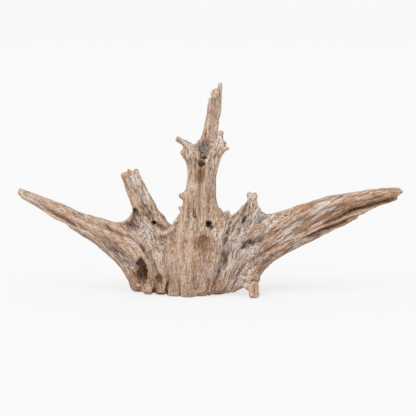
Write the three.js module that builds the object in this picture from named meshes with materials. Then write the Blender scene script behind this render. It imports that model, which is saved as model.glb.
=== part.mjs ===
// Decorative root wood: a weathered stump, dug up with its roots, that grew as one piece of wood.
// A short trunk stands on a spread of feet and ends in a tall split shard. Two long arms taper away
// to the sides, a forked branch and a knob rise between them, and a foot stub points to the front.
// Millimetres, +Z up, X along the arms, -Y towards the front, the origin on the floor under the middle.

import * as THREE from 'three';
import { mergeVertices } from 'three/addons/utils/BufferGeometryUtils.js';

// Driving dimensions
const SPAN = 806;
const HEIGHT = 436;
const BASE_DEPTH = 196;

// How the limbs grow together, in millimetres
const CELL = 3.2;
const HOLLOW_BLEND = 4;
const REACH = 20;
const SPARE_DEPTH = 40;
const STEP_ALONG_LIMB = 8;

// Ridges and lumps of the weathered surface
const RIDGE_SPACING = 23;
const RIDGE_HEIGHT = 2;
const LUMP_HEIGHT = 1.5;
const GRAIN_WIDTH = 7;
const GRAIN_DEPTH = 3.6;
const BROAD_LUMPS = { x: 17, y: 24, z: 21, bend: 1.7, bendLength: 31, share: 0.65 };
const FINE_LUMPS = { x: 9, y: 8, z: 14, tilt: 11, start: 2, share: 0.35 };

// The faceted skin. NECK is the least share of a cell that wood or air fills, and what lies lower
// than FLAT_FOOT stands flat on the floor. No face turns by more than the angle whose cosine is
// LEAST_TURN, or gets slimmer than SLIMMEST, and short edges go first by EDGE_COST.
const FACES = 10000;
const BLUNT_END = 0.5;
const NECK = 0.15;
const FLAT_FOOT = 0.9;
const LEAST_TURN = 0.3;
const SLIMMEST = 0.08;
const EDGE_COST = 0.02;
const FLAT_PLACE = 1e-3;
const SAME_PLACE = 1e-3;

const WOOD = { color: 0xaf9684, roughness: 0.86, metalness: 0 };

// A limb is a list of stations along its middle line, from where it grows out of the wood to its end.
// Each station is [x, y, z, half width, half depth], the depth being front to back. Every group of
// limbs has its own blend, the softness with which they grow into the wood round them.

const TRUNK = {
  core: [
    [-32, 0, 66, 56, 58], [-30, -2, 110, 48, 48], [-24, -2, 155, 39, 38], [-21, 0, 195, 34, 34],
    [-18, 2, 225, 28, 30], [-15, 4, 255, 26, 28], [-12, 6, 280, 28, 26], [-11, 8, 297, 22, 18],
  ],
  shard: [
    [-12, 14, 250, 20, 14], [-8, 14, 295, 18.5, 11], [-1, 14, 328, 17, 10], [7, 13, 368, 14, 9],
    [10, 12, 399, 13, 8],
  ],
  shardEdge: [[-14, 14, 305, 9, 8], [-3, 13, 345, 8, 7], [1, 13, 378, 7, 6], [3, 13, 400, 6.5, 6]],
  shardStep: [[11, 13, 370, 9, 7], [16, 12, 400, 8.5, 7], [16.5, 12, 420, 8, 6]],
  shardTip: [[15, 12, 390, 7, 7], [19.5, 12, 415, 6, 6], [21, 12, 432, 5, 5]],
  leftFlank: [
    [-36, -6, 215, 10, 14], [-37, -8, 250, 7.5, 13], [-38, -8, 282, 11, 12], [-39, -7, 298, 11, 9],
    [-52, -5, 310, 7.5, 7], [-69, -4, 322, 5, 5],
  ],
  leftNub: [[-43, -5, 285, 8, 8], [-57, -5, 295, 5, 5]],
  rightFlank: [
    [-2, -4, 205, 9, 13], [1, -6, 245, 8, 12], [9, -6, 275, 11, 11], [15, -4, 298, 11.5, 9],
    [20.5, -2, 316, 7.5, 6], [24, -2, 335, 5, 5],
  ],
  rightNub: [[17, -3, 290, 9, 8], [29, -3, 298, 6.5, 6], [38, -3, 301, 4, 4]],
  rightNubUpper: [[20, 3, 303, 7, 6], [32, 3, 307, 4, 4]],
  upperKnob: [[-45, -8, 198, 11, 9], [-61, -9, 204, 6, 6]],
  lowerKnob: [[-46, -6, 172, 10, 9], [-62, -8, 176, 5, 6]],
  rightWeb: [[0, 2, 195, 7, 14], [9, 0, 175, 8, 14], [24, -4, 154, 10, 15]],
};

const BRANCH = {
  right: [
    [-82, 2, 108, 18, 20], [-101, 6, 138, 16, 17], [-121, 10, 171, 12.5, 14], [-137, 12, 203, 11.5, 12],
    [-148, 13, 229, 10, 10], [-157, 14, 252, 7.5, 8],
  ],
  left: [
    [-115, 0, 98, 14, 15], [-132, 4, 134, 12, 14], [-148, 8, 168, 10, 12], [-158, 10, 198, 9.5, 10],
    [-168, 12, 224, 10, 9], [-177, 13, 246, 8, 8],
  ],
  web: [[-206, 4, 129, 12, 16], [-187, 5, 135, 12, 14], [-168, 7, 150, 7, 11], [-157, 9, 172, 5, 9]],
  pocketBack: [[-176, 16, 124, 16, 12], [-152, 18, 146, 15, 11], [-140, 16, 172, 12, 9]],
  bowlLip: [
    [-124, -14, 150, 4.5, 6], [-116, -22, 134, 5, 6], [-102, -27, 124, 5.5, 6], [-87, -27, 130, 5, 6],
    [-75, -22, 142, 5, 6], [-60, -14, 162, 5, 8],
  ],
};

const LEFT_ARM = {
  upper: [
    [-120, 0, 62, 44, 48], [-160, 2, 94, 33, 37], [-198, 5, 119, 24, 28], [-240, 9, 139, 17.5, 23],
    [-285, 13, 158, 14, 19], [-330, 17, 179, 11.5, 15], [-370, 21, 197, 9.5, 11], [-398, 24, 209, 6.5, 7],
  ],
  lowerRim: [[-391, 20, 197, 5, 6], [-352, 13, 175, 6, 8], [-315, 8, 155, 6.5, 9], [-281, 5, 139, 6, 9]],
  lower: [
    [-146, -2, 20, 15, 20], [-168, 0, 51, 14, 19], [-200, 2, 81, 11, 17], [-236, 4, 107, 8.5, 15],
    [-268, 7, 127, 7, 12], [-290, 10, 139, 5.5, 9],
  ],
};

const RIGHT_ARM = {
  upper: [
    [20, 0, 58, 46, 58], [60, 0, 90, 40, 47], [105, 0, 119, 32, 37], [150, -2, 141, 26, 30],
    [200, -5, 163, 20.5, 25], [250, -8, 183, 17, 21], [300, -11, 194, 14, 17], [350, -14, 205, 11, 13],
    [386, -16, 212, 7.5, 8], [400, -17, 214, 4, 4],
  ],
  sheet: [
    [222, -16, 183, 8, 14], [262, -18, 193, 8.5, 15], [315, -20, 202, 7.5, 12], [365, -19, 209, 6, 8],
  ],
  middle: [
    [60, -12, 46, 22, 28], [110, -10, 78, 18, 25], [160, -10, 108, 15, 22], [210, -11, 133, 13, 19],
    [265, -12, 156, 10, 15], [320, -14, 176, 8, 11], [365, -16, 191, 6, 8], [385, -17, 197, 4.5, 5],
  ],
  lower: [
    [85, -6, 22, 15, 20], [99, -4, 47, 15, 21], [124, -4, 71, 12.5, 19], [161, -6, 92, 10, 17],
    [206, -8, 113, 8, 13], [251, -10, 134, 6, 10], [286, -11, 150, 5.5, 8], [302, -12, 158, 4.5, 5],
  ],
};

const KNOB = {
  core: [
    [82, -10, 110, 26, 26], [88, -10, 147, 16, 18], [89, -11, 174, 10, 12], [90, -12, 190, 8.5, 10],
    [90.5, -12, 204, 7.5, 9],
  ],
  leftWeb: [[34, -6, 134, 11, 16], [55, -7, 154, 9, 15], [70, -8, 168, 7.5, 12], [80, -10, 184, 5, 8]],
  rightWeb: [[124, -5, 143, 12, 15], [109, -7, 157, 8, 11], [98, -9, 174, 5, 8]],
  hollowBack: [[46, 6, 130, 18, 18], [62, 6, 152, 14, 15], [76, 6, 170, 9, 12]],
  smallNub: [[34, 0, 150, 10, 11], [38, 0, 168, 5.5, 6]],
};

const FRONT_FEET = {
  heartLeft: [[-118, -6, 52, 36, 38], [-70, -16, 58, 42, 44]],
  heartRight: [[-20, -18, 60, 44, 46], [46, -10, 58, 40, 40]],
  fanTop: [[-72, -12, 110, 24, 20], [-66, -22, 90, 36, 26], [-58, -32, 58, 46, 33]],
  fanLeft: [
    [-28, -12, 152, 23, 22], [-38, -26, 110, 38, 27], [-48, -34, 62, 50, 33], [-58, -38, 2, 44, 29],
  ],
  fanRight: [[10, -10, 132, 26, 22], [14, -22, 92, 34, 25], [14, -30, 56, 38, 28], [12, -34, 32, 36, 24]],
  heel: [[76, -24, 66, 22, 22], [70, -36, 40, 20, 18], [64, -42, 22, 14, 13]],
  centreLeft: [
    [-42, -26, 165, 12, 10], [-54, -38, 113, 15, 15], [-66, -46, 62, 17, 18], [-76, -48, -6, 15, 17],
  ],
  centre: [
    [-23, -26, 165, 12, 10], [-29, -42, 113, 15, 15], [-38, -56, 62, 15, 18], [-45, -66, -6, 14, 16],
  ],
  centreRight: [
    [6, -22, 150, 10, 12], [6, -36, 102, 12, 13], [-4, -52, 56, 14, 16], [-13, -64, 9, 12, 14],
  ],
  innerRight: [
    [34, -20, 148, 10, 11], [26, -32, 102, 11, 12], [14, -44, 55, 13, 14], [6, -52, 14, 12, 13],
  ],
  right: [[64, -16, 134, 12, 12], [52, -30, 95, 15, 14], [40, -40, 52, 16, 16], [32, -46, 17, 13, 13]],
  outerRight: [
    [108, -12, 112, 14, 14], [80, -24, 78, 16, 15], [60, -34, 46, 15, 15], [48, -42, 18, 12, 12],
  ],
  stub: [[78, -30, 70, 17, 16], [82, -50, 44, 15.5, 14], [86, -70, 20, 12, 12.5], [88, -86, -5, 9, 11]],
  innerLeft: [
    [-130, -10, 145, 8, 10], [-121, -22, 118, 10, 12], [-106, -34, 88, 12, 14], [-94, -42, 50, 13, 15],
    [-92, -44, -5, 13, 15],
  ],
  left: [
    [-150, -10, 122, 8, 12], [-134, -20, 97, 10, 13], [-120, -28, 66, 11, 14], [-120, -32, 8, 12, 14],
  ],
  outerLeft: [[-161, 2, 60, 12, 18], [-155, 12, 34, 13, 22], [-146, 22, -5, 14, 24]],
  caveKnobLow: [[-148, -8, 18, 10, 12], [-150, -24, 14, 8, 8]],
  caveKnobHigh: [[-158, -6, 44, 8, 12], [-157, -20, 38, 6, 7]],
  caveSill: [[-128, -30, 10, 9, 10], [-132, -42, 8, 7, 7]],
};

const BACK_ROOTS = {
  left: [[-36, 26, 160, 20, 14], [-48, 42, 104, 26, 18], [-66, 58, 56, 26, 20], [-88, 78, -6, 20, 18]],
  right: [[-12, 26, 158, 18, 14], [4, 42, 104, 23, 18], [26, 56, 56, 24, 20], [56, 78, -6, 20, 17]],
  middle: [[-24, 30, 130, 20, 14], [-22, 46, 80, 24, 16], [-16, 56, 34, 20, 15]],
  alongLeftArm: [
    [-60, 24, 122, 19, 15], [-112, 32, 96, 20, 18], [-168, 27, 100, 16, 15], [-232, 20, 130, 11, 11],
  ],
  alongRightArm: [
    [10, 24, 128, 19, 15], [64, 30, 102, 22, 18], [125, 22, 110, 18, 15], [190, 10, 141, 13, 12],
  ],
  lowLeft: [[-96, 30, 84, 16, 16], [-122, 42, 50, 17, 18], [-132, 46, 14, 14, 15]],
  lowRight: [[56, 28, 80, 16, 16], [84, 38, 46, 16, 17], [92, 42, 16, 12, 13]],
  brokenStub: [[-18, 46, 84, 20, 16], [-10, 70, 90, 14, 13], [-6, 88, 95, 11, 10]],
};

const GROWTH = [
  { limbs: TRUNK, blend: 9 },
  { limbs: LEFT_ARM, blend: 11 },
  { limbs: RIGHT_ARM, blend: 11 },
  { limbs: BRANCH, blend: 8 },
  { limbs: KNOB, blend: 9 },
  { limbs: FRONT_FEET, blend: 17 },
  { limbs: BACK_ROOTS, blend: 19 },
];

// Hollows, pits and long grooves are limbs of the same kind that are cut away.

const HOLLOWS = {
  leftCave: [[-144, -30, 66, 8, 22], [-139, -36, 46, 10, 30], [-142, -32, 26, 8, 24]],
  smallPit: [[-106, -60, 36, 6, 14]],
  eyePocket: [[-156, 0, 173, 4, 11], [-153, 0, 162, 5.5, 13], [-150, -1, 150, 6.5, 12]],
  bowl: [[-110, -20, 143, 6, 9], [-99, -22, 137, 6, 9], [-86, -20, 143, 5, 8]],
  bowlHole: [[-119, -12, 147, 4.5, 14], [-113, -12, 141, 4, 12]],
  cleft: [[48, -26, 160, 3.5, 9], [36, -40, 129, 4, 10], [28, -52, 88, 4, 9], [19, -62, 50, 3.5, 8]],
  longPit: [[34, -48, 100, 4.5, 12], [31, -54, 80, 6, 13], [27, -58, 58, 4.5, 11]],
  armHollow: [[64, -38, 98, 4, 10], [82, -38, 107, 7, 12], [102, -34, 115, 4.5, 9]],
  ovalHollow: [[-13, -58, 120, 12, 10], [-10, -62, 100, 11, 9]],
  middleHole: [[-7, -40, 150, 4, 14], [-1, -42, 142, 4, 14]],
  ovalScar: [[-20, -31, 258, 8, 7], [-19, -33, 238, 7, 7]],
  trunkPit: [[-20, -26, 272, 5, 12], [-15, -26, 275, 5, 13]],
  trunkSlit: [[-19, -18, 283, 3.5, 12], [-9, -16, 286, 3, 12]],
  trunkRecess: [[-15, -16, 291, 8, 12], [-13, -12, 306, 11, 15], [-10, -8, 326, 10, 14]],
  rearCave: [[-22, 84, 70, 12, 22], [-18, 92, 36, 16, 30], [-16, 96, -4, 18, 34]],
};

const GROOVES = {
  leftArmCrack: [
    [-240, -14, 122, 2.6, 9], [-212, -20, 101, 3.2, 12], [-186, -26, 78, 4, 16], [-164, -28, 63, 6, 18],
  ],
  leftArmGroove: [
    [-358, 4, 182, 2.6, 6], [-326, -4, 165, 3.4, 9], [-302, -8, 152, 3.8, 10], [-277, -10, 137, 4, 10],
  ],
  rightArmGroove: [
    [238, -26, 147, 2.6, 10], [292, -26, 172, 3.4, 12], [338, -24, 186, 3.2, 9], [378, -22, 197, 2.6, 6],
  ],
  rightArmLowerGroove: [[200, -26, 118, 2.6, 9], [242, -22, 136, 3, 9], [281, -18, 151, 2.6, 7]],
  trunkFluteLeft: [
    [-36, -42, 110, 2.6, 7], [-33, -36, 160, 2.8, 7], [-32, -31, 205, 2.8, 6], [-29, -28, 245, 2.6, 5],
  ],
  trunkFluteRight: [[-2, -30, 190, 2.6, 6], [-6, -30, 225, 2.8, 6], [-3, -27, 262, 2.6, 5]],
};

// Long grooves of the grain, each as the points that it passes on the face that it is seen on, as
// [x, z]. They follow the surface at an even depth.

const FRONT_GRAIN = {
  leftArmLong: [[-330, 187], [-228, 141], [-155, 110], [-112, 66]],
  leftArmShort: [[-214, 136], [-145, 98], [-128, 70]],
  branchSplit: [[-170, 252], [-144, 188], [-122, 148]],
  branchToFoot: [[-150, 150], [-124, 128], [-98, 80], [-84, 16]],
  apronLeft: [[-70, 132], [-78, 66], [-92, 2]],
  apronMiddle: [[-49, 146], [-56, 66], [-61, 0]],
  apronCentre: [[-27, 118], [-33, 60], [-30, 24]],
  trunkRight: [[-1, 268], [-5, 192], [3, 140]],
  trunkLeft: [[-34, 278], [-38, 203], [-49, 150]],
  trunkMiddle: [[-20, 232], [-22, 175], [-26, 130]],
  sweepUpper: [[46, 113], [84, 142], [146, 160], [212, 178]],
  sweepMiddle: [[7, 16], [38, 66], [88, 104], [157, 137], [232, 168]],
  sweepLower: [[26, 12], [63, 54], [121, 90], [188, 123], [262, 159]],
  sweepLowest: [[48, 20], [84, 54], [136, 80], [190, 106]],
  knobFurrow: [[74, 158], [67, 140], [58, 113]],
  shardSplit: [[16, 415], [6, 360], [-4, 318]],
};

const BACK_GRAIN = {
  leftArmLong: [[-320, 178], [-236, 140], [-150, 96], [-110, 50]],
  leftArmLow: [[-214, 108], [-160, 66], [-140, 30]],
  footLeftOuter: [[-62, 160], [-78, 90], [-108, 20]],
  footLeftInner: [[-34, 190], [-48, 100], [-66, 10]],
  trunkLeft: [[-30, 280], [-34, 205], [-28, 150]],
  trunkRight: [[-4, 285], [-8, 215], [-2, 150]],
  footRightInner: [[2, 140], [14, 70], [30, 6]],
  footRightOuter: [[28, 150], [50, 84], [76, 12]],
  rightArmLong: [[60, 120], [124, 142], [200, 166], [300, 192]],
  rightArmLow: [[80, 76], [140, 98], [220, 132], [300, 168]],
  branchSplit: [[-166, 244], [-142, 190], [-116, 140]],
  shardSplit: [[14, 410], [2, 350], [-8, 300]],
};

// Middle line of a limb as short straight pieces, each with its section and its own directions
function limbPieces(stations) {
  const points = stations.map(([x, y, z]) => new THREE.Vector3(x, y, z));
  if (points.length === 1) points.push(points[0].clone().add(new THREE.Vector3(0, 0, 0.5)));
  const sections = stations.length === 1 ? [stations[0], stations[0]] : stations;
  const line = new THREE.CatmullRomCurve3(points, false, 'centripetal');
  const spans = points.length - 1;
  const samples = [];
  for (let span = 0; span < spans; span++) {
    const steps = Math.max(1, Math.ceil(points[span].distanceTo(points[span + 1]) / STEP_ALONG_LIMB));
    for (let step = span === 0 ? 0 : 1; step <= steps; step++) {
      const along = step / steps;
      samples.push({
        point: line.getPoint((span + along) / spans),
        width: THREE.MathUtils.lerp(sections[span][3], sections[span + 1][3], along),
        depth: THREE.MathUtils.lerp(sections[span][4], sections[span + 1][4], along),
      });
    }
  }
  const pieces = [];
  for (let i = 0; i + 1 < samples.length; i++) {
    const from = samples[i];
    const to = samples[i + 1];
    const run = to.point.clone().sub(from.point);
    const length = run.length();
    const forward = run.divideScalar(length);
    const across = new THREE.Vector3(0, 1, 0).cross(forward).normalize();
    const deep = forward.clone().cross(across);
    const first = i === 0;
    const last = i + 2 === samples.length;
    pieces.push({ from, to, length, forward, across, deep, first, last });
  }
  return pieces;
}

// Distance from a point to one piece of a limb with an oval section, below zero inside it
const offset = new THREE.Vector3();
function distanceToPiece(piece, x, y, z, ridgeCount) {
  offset.set(x, y, z).sub(piece.from.point);
  const reached = offset.dot(piece.forward);
  const along = THREE.MathUtils.clamp(reached / piece.length, 0, 1);
  const width = THREE.MathUtils.lerp(piece.from.width, piece.to.width, along);
  const depth = THREE.MathUtils.lerp(piece.from.depth, piece.to.depth, along);
  const beyond = reached - along * piece.length;
  const atEnd = (piece.first && beyond < 0) || (piece.last && beyond > 0);
  const cap = atEnd ? Math.min(width, depth) * BLUNT_END : width;
  const a = offset.dot(piece.across) / width;
  const b = offset.dot(piece.deep) / depth;
  const c = beyond / cap;
  const outward = Math.hypot(a, b, c);
  const steepness = Math.hypot(a / width, b / depth, c / cap);
  const distance = steepness < 1e-6 ? -Math.min(width, depth) : outward * (outward - 1) / steepness;
  return ridgeCount === 0 ? distance : distance + RIDGE_HEIGHT * Math.cos(ridgeCount * Math.atan2(b, a));
}

function smoothMin(a, b, blend) {
  const share = Math.max(blend - Math.abs(a - b), 0) / blend;
  return Math.min(a, b) - share * share * blend / 4;
}

// The space round the root, as a grid of distances to its surface
const margin = 3 * CELL;
const low = new THREE.Vector3(-SPAN / 2 - margin, -BASE_DEPTH / 2 - margin, -margin);
const sides = [SPAN, BASE_DEPTH + SPARE_DEPTH, HEIGHT];
const [NX, NY, NZ] = sides.map((side) => Math.ceil((side + 2 * margin) / CELL) + 1);
const FAR = 50;
const nodeX = (i) => low.x + i * CELL;
const nodeY = (j) => low.y + j * CELL;
const nodeZ = (k) => low.z + (k + 0.5) * CELL;
const nodeIndex = (i, j, k) => i + NX * (j + NY * k);

// Grid nodes within reach of a box
function nodeRange(least, most, origin, count) {
  const first = Math.max(0, Math.ceil((least - REACH - origin) / CELL));
  const last = Math.min(count - 1, Math.floor((most + REACH - origin) / CELL));
  return [first, last];
}

// Lays one limb on a grid of its own, then hands each node that it reaches to join
function layLimb(stations, ridged, join) {
  const pieces = limbPieces(stations);
  const middle = stations[Math.floor(stations.length / 2)];
  const ridgeCount = ridged ? Math.round(Math.PI * (middle[3] + middle[4]) / RIDGE_SPACING) : 0;
  const reached = new Map();
  for (const piece of pieces) {
    const radius = Math.max(piece.from.width, piece.to.width, piece.from.depth, piece.to.depth);
    const box = new THREE.Box3().setFromPoints([piece.from.point, piece.to.point]).expandByScalar(radius);
    const [i0, i1] = nodeRange(box.min.x, box.max.x, nodeX(0), NX);
    const [j0, j1] = nodeRange(box.min.y, box.max.y, nodeY(0), NY);
    const [k0, k1] = nodeRange(box.min.z, box.max.z, nodeZ(0), NZ);
    for (let k = k0; k <= k1; k++) {
      for (let j = j0; j <= j1; j++) {
        for (let i = i0; i <= i1; i++) {
          const node = nodeIndex(i, j, k);
          const distance = distanceToPiece(piece, nodeX(i), nodeY(j), nodeZ(k), ridgeCount);
          const known = reached.get(node);
          if (known === undefined || distance < known) reached.set(node, distance);
        }
      }
    }
  }
  for (const [node, distance] of reached) join(node, distance);
}

function growRoot() {
  const field = new Float32Array(NX * NY * NZ).fill(FAR);
  for (const { limbs, blend } of GROWTH) {
    for (const stations of Object.values(limbs)) {
      layLimb(stations, true, (node, distance) => {
        field[node] = smoothMin(field[node], distance, blend);
      });
    }
  }
  for (let k = 0; k < NZ; k++) {
    for (let j = 0; j < NY; j++) {
      for (let i = 0; i < NX; i++) {
        const node = nodeIndex(i, j, k);
        if (field[node] < REACH) field[node] += LUMP_HEIGHT * lump(nodeX(i), nodeY(j), nodeZ(k));
      }
    }
  }
  scoreGrain(field, FRONT_GRAIN, (y) => y < 4);
  scoreGrain(field, BACK_GRAIN, (y) => y > 16);
  for (const cuts of [HOLLOWS, GROOVES]) {
    for (const stations of Object.values(cuts)) {
      layLimb(stations, false, (node, distance) => {
        field[node] = -smoothMin(-field[node], distance, HOLLOW_BLEND);
      });
    }
  }
  for (let k = 0; k < NZ; k++) {
    for (let node = NX * NY * k; node < NX * NY * (k + 1); node++) {
      field[node] = Math.max(field[node], -nodeZ(k));
    }
  }
  return field;
}

// Lowers the surface along each groove of one face, most along its line and nothing at its edges
function scoreGrain(field, grooves, onFace) {
  const rows = [...Array(NY).keys()].filter((j) => onFace(nodeY(j)));
  for (const corners of Object.values(grooves)) {
    const passed = corners.map(([x, z]) => new THREE.Vector3(x, 0, z));
    const line = new THREE.CatmullRomCurve3(passed, false, 'centripetal');
    const spaced = line.getSpacedPoints(Math.ceil(line.getLength() / CELL));
    const box = new THREE.Box3().setFromPoints(spaced);
    const [i0, i1] = nodeRange(box.min.x, box.max.x, nodeX(0), NX);
    const [k0, k1] = nodeRange(box.min.z, box.max.z, nodeZ(0), NZ);
    const here = new THREE.Vector3();
    for (let k = k0; k <= k1; k++) {
      for (let i = i0; i <= i1; i++) {
        here.set(nodeX(i), 0, nodeZ(k));
        const nearest = Math.sqrt(Math.min(...spaced.map((point) => point.distanceToSquared(here))));
        if (nearest >= GRAIN_WIDTH) continue;
        const share = (1 - (nearest / GRAIN_WIDTH) ** 2) ** 2;
        for (const j of rows) field[nodeIndex(i, j, k)] += GRAIN_DEPTH * share;
      }
    }
  }
}

// Soft lumps, two sizes of them, between about -1 and 1
function lump(x, y, z) {
  const { bend, bendLength } = BROAD_LUMPS;
  const bent = bend * Math.sin(z / bendLength);
  const broad = Math.sin(x / BROAD_LUMPS.x + bent) * Math.sin(z / BROAD_LUMPS.z + y / BROAD_LUMPS.y);
  const { tilt, start } = FINE_LUMPS;
  const slanted = Math.sin(y / FINE_LUMPS.y - z / tilt + start);
  const fine = Math.sin(x / FINE_LUMPS.x + z / FINE_LUMPS.z) * slanted;
  return BROAD_LUMPS.share * broad + FINE_LUMPS.share * fine;
}

// The eight corners of a cell, and its twelve edges and six faces as corner numbers
const CORNERS = [0, 1, 2, 3, 4, 5, 6, 7].map((c) => [c & 1, (c >> 1) & 1, (c >> 2) & 1]);
const EDGES = [1, 2, 4].flatMap((step) => {
  return CORNERS.map((_, corner) => [corner, corner + step]).filter(([corner]) => (corner & step) === 0);
});
const FACE_RINGS = [[0, 1, 3, 2], [4, 5, 7, 6], [0, 1, 5, 4], [2, 3, 7, 6], [0, 2, 6, 4], [1, 3, 7, 5]];

function forEachCell(visit) {
  for (let k = 0; k + 1 < NZ; k++) {
    for (let j = 0; j + 1 < NY; j++) {
      for (let i = 0; i + 1 < NX; i++) visit(i, j, k);
    }
  }
}

const cellCorners = (i, j, k) => CORNERS.map(([a, b, c]) => nodeIndex(i + a, j + b, k + c));

// Whether all corners of a cell are in wood, or all in air
function sameSide(field, i, j, k, inside) {
  const here = nodeIndex(i, j, k);
  for (const level of [here, here + NX * NY]) {
    for (const row of [level, level + NX]) {
      if (field[row] < 0 !== inside || field[row + 1] < 0 !== inside) return false;
    }
  }
  return true;
}

// How many separate groups of like corners a cell has: two is plain, more means that the wood or
// the air only touches itself at a corner there
function cornerGroups(inside) {
  const group = [0, 1, 2, 3, 4, 5, 6, 7];
  for (let pass = 0; pass < 4; pass++) {
    for (const [a, b] of EDGES) {
      if (inside[a] === inside[b]) group[a] = group[b] = Math.min(group[a], group[b]);
    }
  }
  return new Set(group).size;
}

// Takes the weakest wooden corner out of every doubtful cell, until wood meets wood only along whole
// faces. Wood is only ever taken away, so this comes to an end.
function settleDoubtfulCells(field) {
  for (let changed = true; changed;) {
    changed = false;
    forEachCell((i, j, k) => {
      const first = field[nodeIndex(i, j, k)] < 0;
      if (sameSide(field, i, j, k, first)) return;
      const nodes = cellCorners(i, j, k);
      const inside = nodes.map((node) => field[node] < 0);
      const crossed = FACE_RINGS.some(([a, b, c, d]) => {
        return inside[a] === inside[c] && inside[b] === inside[d] && inside[a] !== inside[b];
      });
      if (!crossed && cornerGroups(inside) === 2) return;
      const wooden = nodes.filter((node) => field[node] < 0);
      const weakest = wooden.reduce((a, b) => (field[a] > field[b] ? a : b));
      field[weakest] = NECK * CELL;
      changed = true;
    });
  }
}

// One vertex in every cell that the surface passes through, and one square across every grid edge
function skinField(field) {
  const vertexOf = new Map();
  const positions = [];
  forEachCell((i, j, k) => {
    if (sameSide(field, i, j, k, field[nodeIndex(i, j, k)] < 0)) return;
    const nodes = cellCorners(i, j, k);
    const sum = [0, 0, 0];
    let crossings = 0;
    for (const [a, b] of EDGES) {
      const from = field[nodes[a]];
      const to = field[nodes[b]];
      if ((from < 0) === (to < 0)) continue;
      const along = THREE.MathUtils.clamp(from / (from - to), NECK, 1 - NECK);
      sum.forEach((_, axis) => {
        sum[axis] += THREE.MathUtils.lerp(CORNERS[a][axis], CORNERS[b][axis], along);
      });
      crossings++;
    }
    vertexOf.set(nodeIndex(i, j, k), positions.length / 3);
    const [u, v, w] = sum.map((total) => total / crossings);
    positions.push(nodeX(i + u), nodeY(j + v), nodeZ(k + w));
  });
  const steps = [1, NX, NX * NY];
  const faces = [];
  forEachCell((i, j, k) => {
    const here = nodeIndex(i, j, k);
    const inside = field[here] < 0;
    steps.forEach((step, axis) => {
      if ((field[here + step] < 0) === inside) return;
      const side = steps[(axis + 1) % 3];
      const other = steps[(axis + 2) % 3];
      const around = [here, here - side, here - side - other, here - other];
      const square = around.map((cell) => vertexOf.get(cell));
      const [a, b, c, d] = inside ? square : square.reverse();
      faces.push([a, b, c], [a, c, d]);
    });
  });
  return { positions, faces };
}

// Squared distance to a set of planes, kept as the ten numbers of a symmetric 4 by 4 matrix
function addPlane(quadric, at, normal, offsetFromOrigin, weight) {
  const plane = [normal.x, normal.y, normal.z, offsetFromOrigin];
  let slot = at;
  for (let row = 0; row < 4; row++) {
    for (let column = row; column < 4; column++) quadric[slot++] += weight * plane[row] * plane[column];
  }
}

function planeError(q, x, y, z) {
  return q[0] * x * x + q[4] * y * y + q[7] * z * z + q[9]
    + 2 * (q[1] * x * y + q[2] * x * z + q[5] * y * z + q[3] * x + q[6] * y + q[8] * z);
}

// A queue that always gives its cheapest entry first
class CheapestFirst {
  entries = [];

  push(entry) {
    const list = this.entries;
    let at = list.length;
    list.push(entry);
    while (at > 0) {
      const parent = (at - 1) >> 1;
      if (list[parent].cost <= entry.cost) break;
      list[at] = list[parent];
      at = parent;
    }
    list[at] = entry;
  }

  pop() {
    const list = this.entries;
    const top = list[0];
    const entry = list.pop();
    if (list.length === 0) return top;
    let at = 0;
    for (;;) {
      let child = 2 * at + 1;
      if (child >= list.length) break;
      if (child + 1 < list.length && list[child + 1].cost < list[child].cost) child++;
      if (list[child].cost >= entry.cost) break;
      list[at] = list[child];
      at = child;
    }
    list[at] = entry;
    return top;
  }
}

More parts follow.
